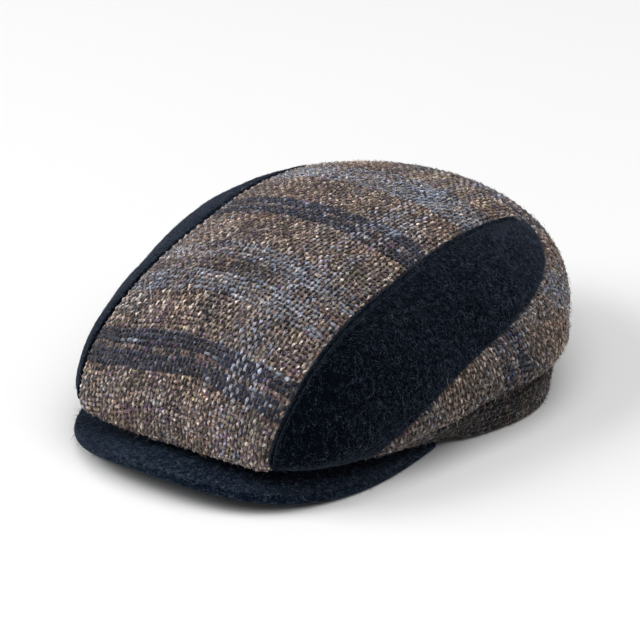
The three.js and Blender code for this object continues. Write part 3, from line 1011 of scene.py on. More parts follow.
def topYarns(random):
    # warps run from the front hem to the back, wefts cross them from seam to seam
    spacing, pitch = weave["warpSpacing"], weave["weftPitch"]
    halfWidth = crown["halfWidth"]
    vLow, vHigh = float(centre["vs"][0]), float(centre["vs"][-1])
    warps = int(round(2 * halfWidth / spacing))
    wefts = int((vHigh - vLow) / pitch)
    warpAt = -halfWidth + (np.arange(warps) + 0.5) * spacing
    weftAt = vLow + (np.arange(wefts) + 0.5) * pitch
    weftBand = [bandAt(v, topWeftBands) for v in weftAt]
    navyPick = np.array([{"navyWeft": 1.0, "mixedWeft": 0.5}.get(blend, 0.0) for blend, share in weftBand])
    bluePick = np.array([share if blend == "blueWeft" else 0.0 for blend, share in weftBand])
    plies = ([], [])
    for i, u0 in enumerate(warpAt):
        grid = np.arange(vLow, vHigh, pitch / 2)
        count = len(grid)
        crossing = np.clip(np.round((grid - weftAt[0]) / pitch).astype(int), 0, wefts - 1)
        navy, blue = navyPick[crossing], bluePick[crossing]
        phase = np.cos(math.pi * ((grid - weftAt[0]) / pitch + i))
        across, v = topPlace(np.full(count, u0), grid)
        rise = weave["warpLevel"] + weave["warpHigh"] * phase * (1 - weave["navyFlatness"] * navy)
        rise = rise + random.normal(0, weave["strayHigh"], count)
        turn = twisted(count, random)
        thickness = slubs(count, random, weave["slub"]) * (0.92 + weave["plyCrownWide"] * phase)
        for ply in (0, 1):
            beside = turn + math.pi * ply
            u = across + weave["plyAcross"] * np.cos(beside) + random.normal(0, weave["strayAcross"], count)
            u = np.clip(u, -halfWidth + weave["plyMargin"], halfWidth - weave["plyMargin"])
            drop = edgeDrop(halfWidth - np.abs(u), weave["seamReach"], weave["seamDrop"])
            lift = rise + weave["plyHigh"] * np.sin(beside) - drop + pillow(u, v)
            dyesAndPaintedShade, blend = yarnDyes(count, u0 / halfWidth, "groundWarp", topWarpBands, random)
            pale = blend == "lilacWarp"
            crossed = dyed("paleWarp" if pale else "navyWarp", count, random)
            least = dyeing["navyOnPale"] if pale else dyeing["navyOnGround"]
            dyesAndPaintedShade = pulledTowards(dyesAndPaintedShade, crossed, navy * random.uniform(least, 1.0, count))
            taken = random.random(count) < (dyeing["blueOnPale"] if pale else dyeing["blueOnGround"]) * blue
            taken = taken * random.uniform(0.5, 1.0, count)
            dyesAndPaintedShade = pulledTowards(dyesAndPaintedShade, dyed("blueWarp", count, random), taken)
            dyesAndPaintedShade = dyesAndPaintedShade * mottled(topWander, u, v)
            size = thickness * np.exp(random.normal(0, weave["sizeSpread"], count))
            wide, thick = weave["plyWide"] * size, weave["plyThick"] * size
            plies[ply].append(yarnPart(centre, u, v, lift, phase, wide, thick, dyesAndPaintedShade))
    weftParts = []
    for j, v0 in enumerate(weftAt):
        crossings = np.arange(warpAt[0], halfWidth - 0.5, spacing / 2)
        grid = np.concatenate(([-halfWidth], crossings, [halfWidth]))
        count = len(grid)
        phase = -np.cos(math.pi * ((grid - warpAt[0]) / spacing + j))
        navy = navyPick[j]
        u, v = topPlace(grid, np.full(count, v0))
        v = v + random.normal(0, weave["strayAlong"], count)
        drop = edgeDrop(halfWidth - np.abs(u), weave["seamReach"], weave["seamDrop"])
        lift = weave["weftLevel"] + (weave["weftHigh"] + weave["weftHighNavy"] * navy) * phase - drop
        lift = lift + random.normal(0, weave["strayWeft"], count) + pillow(u, v)
        dyesAndPaintedShade = yarnDyes(count, v0, "groundWeft", topWeftBands, random)[0]
        dyesAndPaintedShade = dyesAndPaintedShade * mottled(topWander, u, v)
        wide = weave["weftWide"] + weave["weftWideNavy"] * navy + weave["weftCrownWide"] * phase
        wide = wide * slubs(count, random, weave["weftSlub"])
        thick = weave["weftThick"] * np.exp(random.normal(0, weave["sizeSpread"], count))
        weftParts.append(yarnPart(centre, u, v, lift, phase, wide, thick, dyesAndPaintedShade))
    return plies, weftParts


def joined(parts):
    return {key: np.concatenate([part[key] for part in parts]) for key in parts[0]}


def stationCounts(parts):
    return [len(part["points"]) for part in parts]


def seamShare(inside, outside):
    # where a seam crosses the step between two stations, by their distances from it
    return inside / (inside + outside)


def clippedRuns(places):
    # the stretches of a line of stations that lie inside the side panel, ending just on its seams
    seamDistance = np.minimum(lineDistance(lowerSeam, places), lineDistance(backSeam, places))
    inside = insideOutline(sideOutline, places)
    runs, start = [], None
    for k in range(len(places) + 1):
        here = k < len(places) and inside[k]
        if here and start is None:
            start = k
        if not here and start is not None:
            index = np.arange(start, k, dtype=float)
            if start > 0:
                index = np.insert(index, 0, start - seamShare(seamDistance[start], seamDistance[start - 1]))
            if k < len(places):
                index = np.append(index, k - 1 + seamShare(seamDistance[k - 1], seamDistance[k]))
            if len(index) > 2:
                runs.append(index)
            start = None
    return runs


def foldLift(u, up):
    # the bulge over the low band hangs over its crease
    directions = np.interp(u, side["us"], side["directions"])
    crease = np.interp(directions, tableDirections, fromHem[:, creaseColumn])
    strength = smoothStep(directions, sideFold["starts"], sideFold["full"])
    away = up - crease
    ridge = sideFold["ridge"] * hump(away, sideFold["ridgeAt"], sideFold["ridgeWidth"])
    return strength * (ridge - sideFold["depth"] * hump(away, sideFold["depthAt"], sideFold["depthWidth"]))


def beforeBack(directions):
    # one on the sides, down to nothing at the back seam
    return 1 - smoothStep(directions, sideFold["fades"], sideFold["ends"])


def paintedSideShade(u, up):
    # painted shade: the wool's colour is darkened in the fold, in the low band under it and over the front
    # of the side, fading out towards the back seam
    directions = np.interp(u, side["us"], side["directions"])
    crease = np.interp(directions, tableDirections, fromHem[:, creaseColumn])
    away = up - crease
    share = beforeBack(directions)
    sideways = smoothStep(directions, sideFold["sideFrom"], sideFold["sideFull"])
    shade = sideFold["shade"] * (sideFold["frontShade"] + (1 - sideFold["frontShade"]) * sideways)
    shade = 1 - (1 - shade) * share
    inFold = sideFold["foldShade"] * (0.3 + 0.7 * share)
    inFold = inFold * hump(away, sideFold["foldShadeAt"], sideFold["foldShadeWidth"])
    inBand = sideFold["bandShade"] * share * smoothStep(-away, 0, sideFold["bandShadeWidth"])
    return shade * (1 - inFold) * (1 - inBand)


def sideYarns(random):
    # uprights rise from the hem in two plies, level yarns cross them
    spacing, pitch = weave["warpSpacing"], weave["weftPitch"]
    uLow, uHigh = float(frontLine[0, 0]) - 2, float(side["us"][-1]) - 2
    levels = np.arange(lowestUp + pitch / 2, weave["sideTop"], pitch)
    uprights = np.arange(uLow, uHigh, spacing)
    found = {"upright": [], "level": []}
    for kind, lines in (("upright", uprights), ("level", levels)):
        if kind == "upright":
            crossings = np.arange(levels[0], weave["sideTop"], pitch / 2)
        else:
            crossings = np.arange(uLow, uHigh, spacing / 2)
        for i, line in enumerate(lines):
            here = np.full(len(crossings), line)
            places = np.stack((here, crossings) if kind == "upright" else (crossings, here), -1)
            for index in clippedRuns(places):
                stations = np.arange(len(places))
                uRun, upRun = [np.interp(index, stations, places[:, k]) for k in range(2)]
                count = len(index)
                phase = np.cos(math.pi * (index / 2 + i)) * (1 if kind == "upright" else -1)
                spots = np.stack((uRun, upRun), -1)
                near = np.minimum(lineDistance(lowerSeam, spots), lineDistance(backSeam, spots))
                drop = edgeDrop(near, weave["sideSeamReach"], weave["sideSeamDrop"]) - foldLift(uRun, upRun)
                quiet = np.clip(near / weave["settledWithin"], 0, 1)
                turn = twisted(count, random)
                du, dv = sideWander(uRun, upRun)
                uRun, upRun = uRun + quiet * du, upRun + quiet * dv
                thickness = slubs(count, random, weave["slub"])
                # painted shade of the fold, the low band and the side's front
                dark = paintedSideShade(uRun, upRun)
                for ply in (0, 1) if kind == "upright" else (0,):
                    size = thickness * np.exp(random.normal(0, weave["sizeSpread"], count))
                    if kind == "upright":
                        place = np.interp(line, side["us"], side["directions"])
                        dyesAndPaintedShade = yarnDyes(count, place, "greyWarp", sideWarpBands, random)[0]
                        # navy in the uprights below the crease: partly the plaid's navy, partly painted
                        # shade of the low band under the fold
                        low = random.random(count) < dyeing["lowShare"] * beforeBack(place)
                        low = dyeing["navyAndShadeLowDown"] * ((upRun < sideFold["darkBelow"]) & low)
                        dyesAndPaintedShade = pulledTowards(dyesAndPaintedShade, dyed("navyWarp", count, random), low)
                        beside = turn + math.pi * ply
                        stray = random.normal(0, 0.08, count)
                        u, up = uRun + quiet * (weave["plyAcross"] * np.cos(beside) + stray), upRun
                        lift = weave["warpLevel"] + weave["warpHigh"] * phase
                        lift = lift + weave["plyHigh"] * np.sin(beside)
                        wide, thick = weave["plyWide"] * (0.93 + 0.13 * phase), weave["plyThick"]
                    else:
                        dyesAndPaintedShade = yarnDyes(count, line, "greyWeft", sideWeftBands, random)[0]
                        u, up = uRun, upRun + quiet * random.normal(0, weave["sideStray"], count)
                        lift = weave["weftLevel"] + weave["weftHigh"] * phase
                        wide, thick = weave["weftWide"] + weave["weftCrownWide"] * phase, weave["weftThick"]
                    lift = lift - drop + random.normal(0, weave["strayWeft"], count)
                    # the side yarns' colours take the painted shade here
                    dyesAndPaintedShade = dyesAndPaintedShade * dark[:, None] * mottled(sideWander, u, up)
                    part = yarnPart(side, u, up, lift, phase, wide * size, thick * size, dyesAndPaintedShade)
                    found[kind].append(part)
    return found


def coonsPlaces(bottom, top, left, right, across, up):
    # a patch between four edges, at the given fractions along them
    def along(line, shares):
        fine = evenly(line, 400)
        return np.stack([np.interp(shares, np.linspace(0, 1, 400), fine[:, k]) for k in range(2)], -1)
    b, t = along(bottom, across)[None, :], along(top, across)[None, :]
    l, r = along(left, up)[:, None], along(right, up)[:, None]
    s, q = across[None, :, None], up[:, None, None]
    corners = (1 - s) * (1 - q) * bottom[0] + s * (1 - q) * bottom[-1]
    corners = corners + (1 - s) * q * top[0] + s * q * top[-1]
    return (1 - q) * b + q * t + (1 - s) * l + s * r - corners


# the walls of the tweed panels
walls = {
    "outerLift": -1.5, "thickness": 1.0, "columns": 37, "sideColumns": 64, "sideRows": 34,
    "seamReach": 2.6, "seamDrop": 0.5, "hemSteps": 8,
}
tweedBack = clothBackFinish()
# the peak takes the inserts' navy felt painted nearly three times lighter: painted light where its flat top
# faces the key lamp
felt = feltFinish("insertFelt", 0.45)
peakPaintedLitFelt = feltFinish("peakFeltPaintedLit", 1.3)
thread = threadFinish()

wallAcross = np.linspace(-crown["halfWidth"], crown["halfWidth"], walls["columns"])
wallAlong = centre["vs"][walls["hemSteps"]:-walls["hemSteps"]]
uWall, vWall = np.meshgrid(wallAcross, wallAlong, indexing="ij")
wallPoints, wallNormals = onCloth(centre, uWall, vWall)
fromSeam = crown["halfWidth"] - np.abs(uWall)
wallLift = walls["outerLift"] - edgeDrop(fromSeam, walls["seamReach"], walls["seamDrop"])
wallPoints = wallPoints + wallNormals * wallLift[..., None]
sheetPiece("topPanelCloth", wallPoints, wallNormals, np.stack((uWall, vWall), -1), walls["thickness"],
           tweedBack, "top_panel")

# They stop at the foot of the hem, where the yarns alone turn under.
hemFoot = float(side["vs"][walls["hemSteps"]])


def fromFoot(line):
    start = np.interp(hemFoot, line[:20, 1], line[:20, 0])
    return np.vstack(((start, hemFoot), line[line[:, 1] > hemFoot + 0.5]))


hemAcross = np.vstack((fromFoot(frontLine)[0], fromFoot(backSeam)[0]))
sidePlaces = coonsPlaces(hemAcross, edgeLine, fromFoot(frontLine), fromFoot(backSeam),
                         np.linspace(0, 1, walls["sideColumns"]), np.linspace(0, 1, walls["sideRows"]))
for name, node, mirrored in (("sidePanelClothLeft", "side_panel_left", False),
                             ("sidePanelClothRight", "side_panel_right", True)):
    sidePoints, sideNormals = onCloth(side, sidePlaces[..., 0], sidePlaces[..., 1])
    sideLift = walls["outerLift"] + foldLift(sidePlaces[..., 0], sidePlaces[..., 1])
    sidePoints = sidePoints + sideNormals * sideLift[..., None]
    sheetPiece(name, sidePoints, sideNormals, sidePlaces, walls["thickness"],
               tweedBack, node, mirrored)
print("cloth walls made")

# the woven yarns
random = np.random.default_rng(11)
plies, weftParts = topYarns(random)
for title, parts in (("One", plies[0]), ("Two", plies[1])):
    tubePiece("topPanelWarpPly" + title, joined(parts), stationCounts(parts), 4,
              lambda strips, length: yarnFinish("topWarpPly" + title, strips, length))
tubePiece("topPanelWefts", joined(weftParts), stationCounts(weftParts), 4,
          lambda strips, length: yarnFinish("topWeftYarn", strips, length))
for name, mirrored, seed in (("Left", False, 21), ("Right", True, 34)):
    found = sideYarns(np.random.default_rng(seed))
    for kind, title in (("upright", "Uprights"), ("level", "Levels")):
        tubePiece("sidePanel" + title + name, joined(found[kind]), stationCounts(found[kind]), 4,
                  lambda strips, length: yarnFinish("side" + title + name, strips, length),
                  mirrored)

# the navy inserts
insert = {
    "thickness": 1.7, "ridgeFrom": 1.7, "ridgeWidth": 0.9, "ridgeHeight": 0.8,
    "grooveFrom": 3.3, "grooveWidth": 0.6, "grooveDepth": 1.25, "puff": 0.55, "bluntEnd": 8,
    "stitchLength": 2.5, "stitchPitch": 3.4, "threadRadius": 0.16, "stitchRow": 10, "threadSteps": 1600,
    "level": -0.25, "upperRoll": (1.3, 1.3), "lowerRoll": (2.2, 1.2), "grooveEnds": 6,
    "lumps": 0.16, "smallLumps": 0.05, "pucker": 0.07, "puckerFrom": 3.3, "puckerWidth": 2.6,
    "lumpSize": 24, "smallLumpSize": 6, "puffUpper": (3.2, 13), "puffLower": (0.5, 9),
    "stitchStations": (-0.5, -0.25, 0, 0.25, 0.5), "stitchRise": (-0.35, 0.12, 0.2, 0.12, -0.35),
    "threadFlatness": 1.3, "firstStitch": 3, "stitchesLeftOut": 4,
    "run": 270, "frontRun": 16, "frontStep": 0.7, "backRun": 262, "columns": 150, "rows": 61,
    "lastColumns": (264, 266, 267.5, 268.6, 269.3, 270), "middleRows": 24, "fullWidth": 9,
    "nearRows": (0, 0.25, 0.6, 1.0, 1.5, 2.0, 2.4, 2.7, 2.95, 3.15, 3.35, 3.6, 3.9, 4.4),
    "farRows": (2.6, 1.9, 1.3, 0.8, 0.4, 0.15, 0),
}


def gentleLumps(points, random, size, count=14):
    # slow unevenness of the surface, about -1 to 1
    total = 0
    for _ in range(count):
        way = unit(random.normal(0, 1, 3)) * math.tau / (size * random.uniform(0.7, 1.6))
        total = total + np.sin(points @ way + random.uniform(0, math.tau))
    return total / math.sqrt(count)


def insertGrid():
    # fine rows at the two seams, where the ridge, the groove and the rolled edges are
    lower = lowerSeam[:-insert["bluntEnd"]]
    blunt = lowerSeam[-insert["bluntEnd"] - 1:][::-1]
    hem = np.array([upperSeam[0], frontLine[0]])
    atFront = np.arange(0, insert["frontRun"], insert["frontStep"])
    middle = np.linspace(insert["frontRun"], insert["backRun"], insert["columns"])
    fineRun = np.concatenate((atFront, middle, insert["lastColumns"])) / insert["run"]
    fineUp = np.linspace(0, 1, insert["rows"])
    places = coonsPlaces(upperSeam, lower, hem, blunt, fineRun, fineUp)
    points, _ = onCloth(side, places[..., 0], places[..., 1])
    widths = lengthsAlong(points, 0)
    near, far = np.array(insert["nearRows"]), np.array(insert["farRows"])
    columns = []
    for k in range(len(fineRun)):
        width = float(widths[-1, k])
        scale = min(1.0, width / insert["fullWidth"])
        between = np.linspace(near[-1] * scale, width - far[0] * scale, insert["middleRows"])[1:-1]
        wanted = np.concatenate((near * scale, between, width - far * scale))
        share = np.interp(wanted, widths[:, k], fineUp)
        columns.append(np.stack([np.interp(share, fineUp, places[:, k, axis]) for axis in range(2)], -1))
    return np.stack(columns, axis=1), widths


insertPlaces, insertWidths = insertGrid()


def insertSurface(seed):
    points, normals = onCloth(side, insertPlaces[..., 0], insertPlaces[..., 1])
    fromUpper = lengthsAlong(points, 0)
    fromLower = fromUpper[-1:] - fromUpper
    run = lengthsAlong(points, 1)
    fromBack = run[:, -1:] - run
    lift = insert["level"] - edgeDrop(fromUpper, *insert["upperRoll"])
    lift = lift - edgeDrop(fromLower, *insert["lowerRoll"]) - edgeDrop(fromBack, *insert["lowerRoll"])
    fade = np.clip(fromBack / insert["grooveEnds"], 0, 1)
    lift = lift + insert["ridgeHeight"] * hump(fromUpper, insert["ridgeFrom"], insert["ridgeWidth"])
    groove = hump(fromUpper, insert["grooveFrom"], insert["grooveWidth"])
    lift = lift - insert["grooveDepth"] * fade * groove
    puff = smoothStep(fromUpper, *insert["puffUpper"]) * smoothStep(fromLower, *insert["puffLower"])
    lift = lift + insert["puff"] * puff
    random = np.random.default_rng(seed)
    lift = lift + insert["lumps"] * puff * gentleLumps(points, random, insert["lumpSize"])
    lift = lift + insert["smallLumps"] * gentleLumps(points, random, insert["smallLumpSize"])
    pucker = hump(fromUpper, insert["puckerFrom"], insert["puckerWidth"])
    pucker = pucker * np.sin(run[:1] * math.tau / insert["stitchPitch"])
    lift = lift + insert["pucker"] * fade * pucker
    return points + normals * lift[..., None], normals


for name, node, mirrored, seed in (("sideInsertFeltLeft", "side_insert_left", False, 5),
                                   ("sideInsertFeltRight", "side_insert_right", True, 6)):
    insertPoints, insertNormals = insertSurface(seed)
    sheetPiece(name, insertPoints, insertNormals, insertPlaces, insert["thickness"],
               felt, node, mirrored)
    # topstitching that lies in the groove
    line = evenly(insertPoints[insert["stitchRow"]], insert["threadSteps"])
    lineNormals = unit(evenly(insertNormals[insert["stitchRow"]], insert["threadSteps"]))
    lineLength = float(np.sum(np.linalg.norm(np.diff(line, axis=0), axis=1)))
    stitches = int(lineLength / insert["stitchPitch"]) - insert["stitchesLeftOut"]
    parts = []
    for k in range(stitches):
        middle = (k + insert["firstStitch"]) * insert["stitchPitch"]
        places = middle + insert["stitchLength"] * np.array(insert["stitchStations"])
        index = np.clip(places / lineLength, 0, 1) * (insert["threadSteps"] - 1)
        index = index.astype(int)
        rise = np.array(insert["stitchRise"])
        parts.append({
            "points": line[index] + lineNormals[index] * rise[:, None], "normals": lineNormals[index],
            "wide": np.full(len(rise), insert["threadRadius"] * insert["threadFlatness"]),
            "thick": np.full(len(rise), insert["threadRadius"]), "dye": np.ones((len(rise), 3)),
        })
    tubePiece(name.replace("Felt", "Stitches"), joined(parts), stationCounts(parts), 6, thread,
              mirrored, False)

# the peak
peakLook = {
    "columns": 168, "topRows": 30, "rimRows": 16, "bottomRows": 12, "seamAt": 32, "seamDepth": 0.42,
    "forward": 0.6, "arch": 0.77, "turn": -2.2, "seamWidth": 9, "bead": 0.12, "beadAt": 60, "beadWidth": 16,
    "smallLumps": 0.07, "smallLumpSize": 9, "lumps": 0.10, "lumpSize": 26, "lumpsFrom": (2.0, 4.5),
    "rowPower": 0.7, "sewnFlat": 5,
}


def peakOuterReach(direction):
    # how far the peak's outline is from the crown's middle, found by halving
    near, far = np.zeros_like(direction), np.full_like(direction, search["furthest"])
    angle = np.radians(direction)
    for _ in range(search["peakHalvings"]):
        reach = (near + far) / 2
        x = np.abs(reach * np.sin(angle)) / peakShape["halfWidth"]
        y = np.abs(crown["centreY"] - reach * np.cos(angle) - peakShape["centreY"])
        y = y / (peakShape["front"] + peakLook["forward"] + peakShape["centreY"])
        inside = x ** peakShape["outlinePower"] + y ** peakShape["outlinePower"] < 1
        near, far = np.where(inside, reach, near), np.where(inside, far, reach)
    return near


def peakSurface(random):
    directions = np.linspace(-peakShape["endDirection"], peakShape["endDirection"], peakLook["columns"])
    inner = sectionValue("hemReach", directions) - peakShape["sewnWidth"]
    radius = peakShape["thickness"] / 2
    outer = peakOuterReach(directions) - radius
    rows = []
    for share in np.linspace(0, 1, peakLook["topRows"]) ** peakLook["rowPower"]:
        rows.append((inner + (outer - inner) * share, np.full_like(inner, 2 * radius)))
    for angle in np.linspace(90, -90, peakLook["rimRows"] * 2 + 1)[1:-1]:
        gap = hump(angle, peakLook["seamAt"], peakLook["seamWidth"]) * peakLook["seamDepth"]
        bead = hump(angle, peakLook["beadAt"], peakLook["beadWidth"]) * peakLook["bead"]
        roll = radius + bead - gap
        a = math.radians(angle)
        rows.append((outer + roll * math.cos(a), np.full_like(outer, radius + roll * math.sin(a))))
    for share in np.linspace(1, 0, peakLook["bottomRows"]):
        rows.append((inner + (outer - inner) * share, np.zeros_like(inner)))
    reach = np.stack([row[0] for row in rows] + [rows[0][0]])
    height = np.stack([row[1] for row in rows] + [rows[0][1]])
    angle = np.radians(directions + peakLook["turn"])[None, :]
    sewnEnd = np.minimum(inner + peakLook["sewnFlat"], outer - peakLook["sewnFlat"])
    outwards = smoothStep(reach, sewnEnd, outer)
    droop = 1 + (peakLook["arch"] - 1) * outwards
    points = roundMiddle(angle, reach, height + peakArch(reach * np.sin(angle)) * droop)
    top = smoothStep(height, *peakLook["lumpsFrom"])
    lumps = peakLook["smallLumps"] * top * gentleLumps(points, random, peakLook["smallLumpSize"])
    lumps = lumps + peakLook["lumps"] * top * gentleLumps(points, random, peakLook["lumpSize"])
    points[:-1, :, 2] += lumps[:-1]
    points[-1] = points[0]
    return points


peakPoints = peakSurface(np.random.default_rng(8))
peakMesh = gridMesh("peakFelt", peakPoints.shape[1] - 1, peakPoints.shape[0] - 1)
setPlaces(peakMesh, peakPoints)
shape = bmesh.new()
shape.from_mesh(peakMesh)
bmesh.ops.remove_doubles(shape, verts=shape.verts, dist=tube["weld"])
bmesh.ops.holes_fill(shape, edges=[edge for edge in shape.edges if edge.is_boundary], sides=0)
bmesh.ops.recalc_face_normals(shape, faces=shape.faces)
for face in shape.faces:
    face.smooth = len(face.verts) == 4
shape.to_mesh(peakMesh)
shape.free()
addPiece("peakFelt", peakMesh, peakPaintedLitFelt, "peak")
print("inserts and peak made", len(peakMesh.polygons))

# loose fibres
feltHair = {
    "length": 1.9, "spread": 0.45, "bend": 1.8, "rise": 0.28, "radius": 0.055, "stations": 3,
    "dyesAndPaintedShade": ((0.022, 0.038, 0.07), (0.042, 0.066, 0.108), (0.012, 0.022, 0.044), (0.09, 0.125, 0.18),
             (0.2, 0.23, 0.27)),
    "chances": (0.38, 0.30, 0.24, 0.065, 0.015),
}
tweedHair = {
    "length": 2.4, "spread": 0.5, "bend": 2.0, "rise": 0.6, "radius": 0.06, "stations": 3,
    "dyesAndPaintedShade": (wool["tan"], wool["cream"], wool["brown"], wool["grey"], wool["blueGrey"], wool["darkBrown"]),
    "chances": (0.28, 0.18, 0.2, 0.14, 0.1, 0.1),
}


hairShape = {
    "shortest": -2, "longest": 1.3, "waver": 0.75, "riseSpread": (0.3, 1.5), "arc": (0.55, 1.0),
    "offCloth": 0.05, "rootDepth": 0.1, "drape": 140, "lowest": 0.12,
    "dyeSpread": 0.25, "radiusSpread": 0.2, "taper": 0.45,
}


def hairParts(random, roots, normals, look):
    # curled hairs that start at their roots and lie over the cloth
    count, stations = len(roots), look["stations"]
    t = np.linspace(0, 1, stations)[None, :]
    first = unit(np.cross(normals, random.normal(0, 1, (count, 3))))
    second = np.cross(normals, first)
    length = np.clip(random.normal(0, 1, count), hairShape["shortest"], hairShape["longest"])
    length = (look["length"] * np.exp(look["spread"] * length))[:, None]
    bend = random.normal(0, look["bend"], count)[:, None]
    heading = bend * (t - 0.5) + random.normal(0, hairShape["waver"] / stations, (count, stations))
    step = length / (stations - 1)
    x = np.cumsum(np.cos(heading), axis=1) * step
    y = np.cumsum(np.sin(heading), axis=1) * step
    rise = (look["rise"] * random.uniform(*hairShape["riseSpread"], count))[:, None]
    arc = np.clip(t * random.uniform(*hairShape["arc"], count)[:, None], 0, 1)
    high = hairShape["offCloth"] + rise * np.sin(np.pi * arc)
    high = high - hairShape["rootDepth"] * (t == 0) - (x**2 + y**2) / hairShape["drape"]
    points = (roots[:, None] + first[:, None] * x[..., None] + second[:, None] * y[..., None]
              + normals[:, None] * high[..., None])
    points[..., 2] = np.maximum(points[..., 2], hairShape["lowest"])
    dyesAndPaintedShade = np.array(look["dyesAndPaintedShade"])[random.choice(len(look["dyesAndPaintedShade"]), size=count, p=look["chances"])]
    dyesAndPaintedShade = dyesAndPaintedShade * np.exp(random.normal(0, hairShape["dyeSpread"], (count, 1)))
    radius = look["radius"] * np.exp(random.normal(0, hairShape["radiusSpread"], count))[:, None]
    radius = radius * (1 - hairShape["taper"] * t)
    return {
        "points": points.reshape(-1, 3), "normals": np.repeat(normals, stations, axis=0),
        "wide": radius.ravel(), "thick": radius.ravel(), "dye": np.repeat(dyesAndPaintedShade, stations, axis=0),
    }, [stations] * count


kempHair = {
    "length": 7, "spread": 0.3, "bend": 3.0, "rise": 0.7, "radius": 0.042, "stations": 10,
    "dyesAndPaintedShade": ((0.34, 0.37, 0.42), (0.2, 0.23, 0.28)), "chances": (0.5, 0.5),
}
hairCounts = {"top": 3500, "lip": 500, "side": 1500, "insert": 2400, "peak": 2000, "kemp": 4, "tried": 9000}
forkAt = ([33, 33], [116, 116])  # two kemps start at one spot of the insert
feltHairFinish = hairFinish("navyHair", 0.2)
tweedHairFinish = hairFinish("tweedHair", 0.3)
random = np.random.default_rng(77)

farAcross = crown["halfWidth"] - 0.4
u = random.uniform(-farAcross, farAcross, hairCounts["top"] + hairCounts["lip"])
v = np.concatenate((random.uniform(centre["vs"][0] + 6, centre["vs"][-1] - 6, hairCounts["top"]),
                    random.uniform(-175, -164, hairCounts["lip"])))
roots, normals = onCloth(centre, u, v)
parts, counts = hairParts(random, roots, normals, tweedHair)
tubePiece("topPanelHairs", parts, counts, 3, tweedHairFinish, False, False)

for name, mirrored in (("Left", False), ("Right", True)):
    u = random.uniform(frontLine[0, 0], side["us"][-1], hairCounts["tried"])
    places = np.stack((u, random.uniform(0.5, 95, hairCounts["tried"])), -1)
    inSide = places[insideOutline(sideOutline, places)][:hairCounts["side"]]
    roots, normals = onCloth(side, inSide[:, 0], inSide[:, 1])
    roots = roots + normals * foldLift(inSide[:, 0], inSide[:, 1])[:, None]
    parts, counts = hairParts(random, roots, normals, tweedHair)
    tubePiece("sidePanelHairs" + name, parts, counts, 3, tweedHairFinish, mirrored, False)
    felted, feltedNormals = insertSurface(6 if mirrored else 5)
    index = random.integers(0, felted.shape[1] - 1, hairCounts["insert"])
    widths = insertWidths[-1][index]
    keep = random.random(len(index)) < widths / widths.max() * 1.6
    index = index[keep]
    across = 0.5 + random.uniform(0, 1, len(index)) * np.maximum(insertWidths[-1][index] - 1.1, 0.1)
    fromUpper = lengthsAlong(felted, 0)
    roots, normals = np.zeros((len(index), 3)), np.zeros((len(index), 3))
    for k, column in enumerate(index):
        place = np.interp(across[k], fromUpper[:, column], np.arange(felted.shape[0]))
        low = min(int(place), felted.shape[0] - 2)
        share, mid = place - low, random.random()
        edge = felted[low, column:column + 2] * (1 - share) + felted[low + 1, column:column + 2] * share
        roots[k] = edge[0] * (1 - mid) + edge[1] * mid
        normals[k] = feltedNormals[low, column]
    parts, counts = hairParts(random, roots, normals, feltHair)
    chosen = random.choice(len(roots), hairCounts["kemp"], replace=False)
    kempRoots = np.vstack((roots[chosen], felted[forkAt]))
    kempNormals = np.vstack((normals[chosen], feltedNormals[forkAt]))
    kemp, kempCounts = hairParts(random, kempRoots, kempNormals, kempHair)
    tubePiece("sideInsertHairs" + name, joined([parts, kemp]), counts + kempCounts, 3,
              feltHairFinish, mirrored, False)

rimRow = peakLook["topRows"] + peakLook["rimRows"]
peakTop = np.swapaxes(peakPoints[:rimRow], 0, 1)
peakCloth = makeCloth(peakTop, np.arange(peakLook["columns"]), np.arange(rimRow))
if peakCloth["normals"][peakLook["columns"] // 2, 5, 2] < 0:
    peakCloth["normals"] = -peakCloth["normals"]
spots = random.uniform(0, 1, (hairCounts["tried"], 2)) * (peakLook["columns"] - 2, rimRow - 1)
roots, normals = onCloth(peakCloth, spots[:, 0], spots[:, 1])
reach = np.hypot(roots[:, 0], roots[:, 1] - crown["centreY"])
shown = reach > sectionValue("hemReach", directionAndRise(roots)[0]) + 3
roots, normals = roots[shown][:hairCounts["peak"]], normals[shown][:hairCounts["peak"]]
parts, counts = hairParts(random, roots, normals, feltHair)
tubePiece("peakHairs", parts, counts, 3, feltHairFinish, False, False)

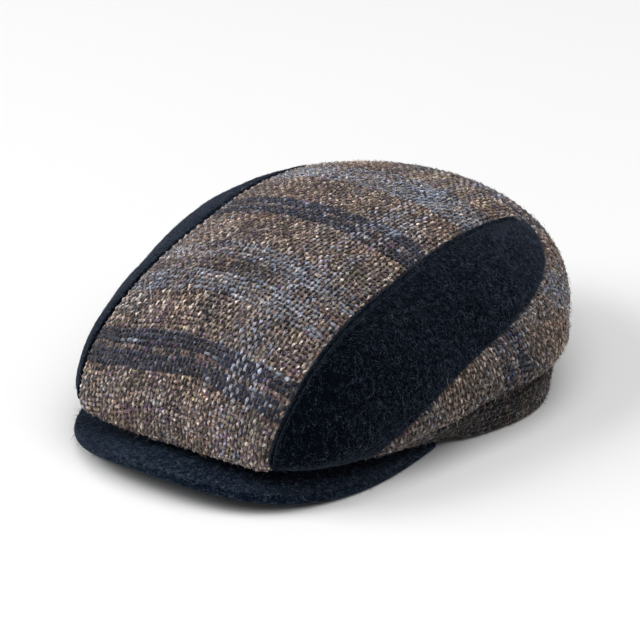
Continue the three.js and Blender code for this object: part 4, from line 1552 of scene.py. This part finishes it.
# floor, light and camera
light = {
    "floorSize": 4.0, "world": 0.19, "keyPower": 163, "keySize": 2.6, "keyPlace": (-3.5, -2.0, 3.0),
    "topPower": 104, "topSize": 4.0, "topPlace": (0.9, -0.5, 3.2), "aim": (0, 0, 0.03),
}
camera = {
    "azimuth": 33.08, "elevation": 25.64, "distance": 1.2703, "target": (0.0, 0.0041, 0.0343),
    "lens": 146.25, "sensor": 36,
}
floorMesh = gridMesh("floor", 8, 8, light["floorSize"])
floor = inScene("floor", floorMesh)
finish = Finish("paleFloor")
grain = finish.noise(finish.objectPlace(), scale=3.0, detail=2.0)
floorMesh.materials.append(finish.done({
    "Base Color": finish.mix(grain, (0.865, 0.865, 0.865, 1), (0.885, 0.885, 0.885, 1)),
    "Roughness": 0.95, "Specular IOR Level": 0.1,
}))


def addAreaLight(name, place, size, power):
    lamp = bpy.data.lights.new(name, "AREA")
    lamp.energy = power
    lamp.size = size
    holder = inScene(name, lamp)
    holder.location = place
    aim = Vector(light["aim"]) - Vector(place)
    holder.rotation_euler = aim.to_track_quat("-Z", "Y").to_euler()


addAreaLight("keyLight", light["keyPlace"], light["keySize"], light["keyPower"])
addAreaLight("topLight", light["topPlace"], light["topSize"], light["topPower"])
world = bpy.data.worlds.new("studio")
bpy.context.scene.world = world
world.use_nodes = True
background = world.node_tree.nodes["Background"]
background.inputs["Color"].default_value = (1, 1, 1, 1)
background.inputs["Strength"].default_value = light["world"]
bpy.context.scene.view_settings.view_transform = "Standard"

cameraData = bpy.data.cameras.new("camera")
cameraData.lens = camera["lens"]
cameraData.sensor_width = camera["sensor"]
cameraData.clip_end = 20
cameraObject = inScene("camera", cameraData)
turn, tilt = math.radians(camera["azimuth"]), math.radians(camera["elevation"])
back = Vector((math.sin(turn) * math.cos(tilt), -math.cos(turn) * math.cos(tilt), math.sin(tilt)))
target = Vector(camera["target"])
cameraObject.location = target + back * camera["distance"]
cameraObject.rotation_euler = (-back).to_track_quat("-Z", "Y").to_euler()
bpy.context.scene.camera = cameraObject

bpy.context.view_layer.update()
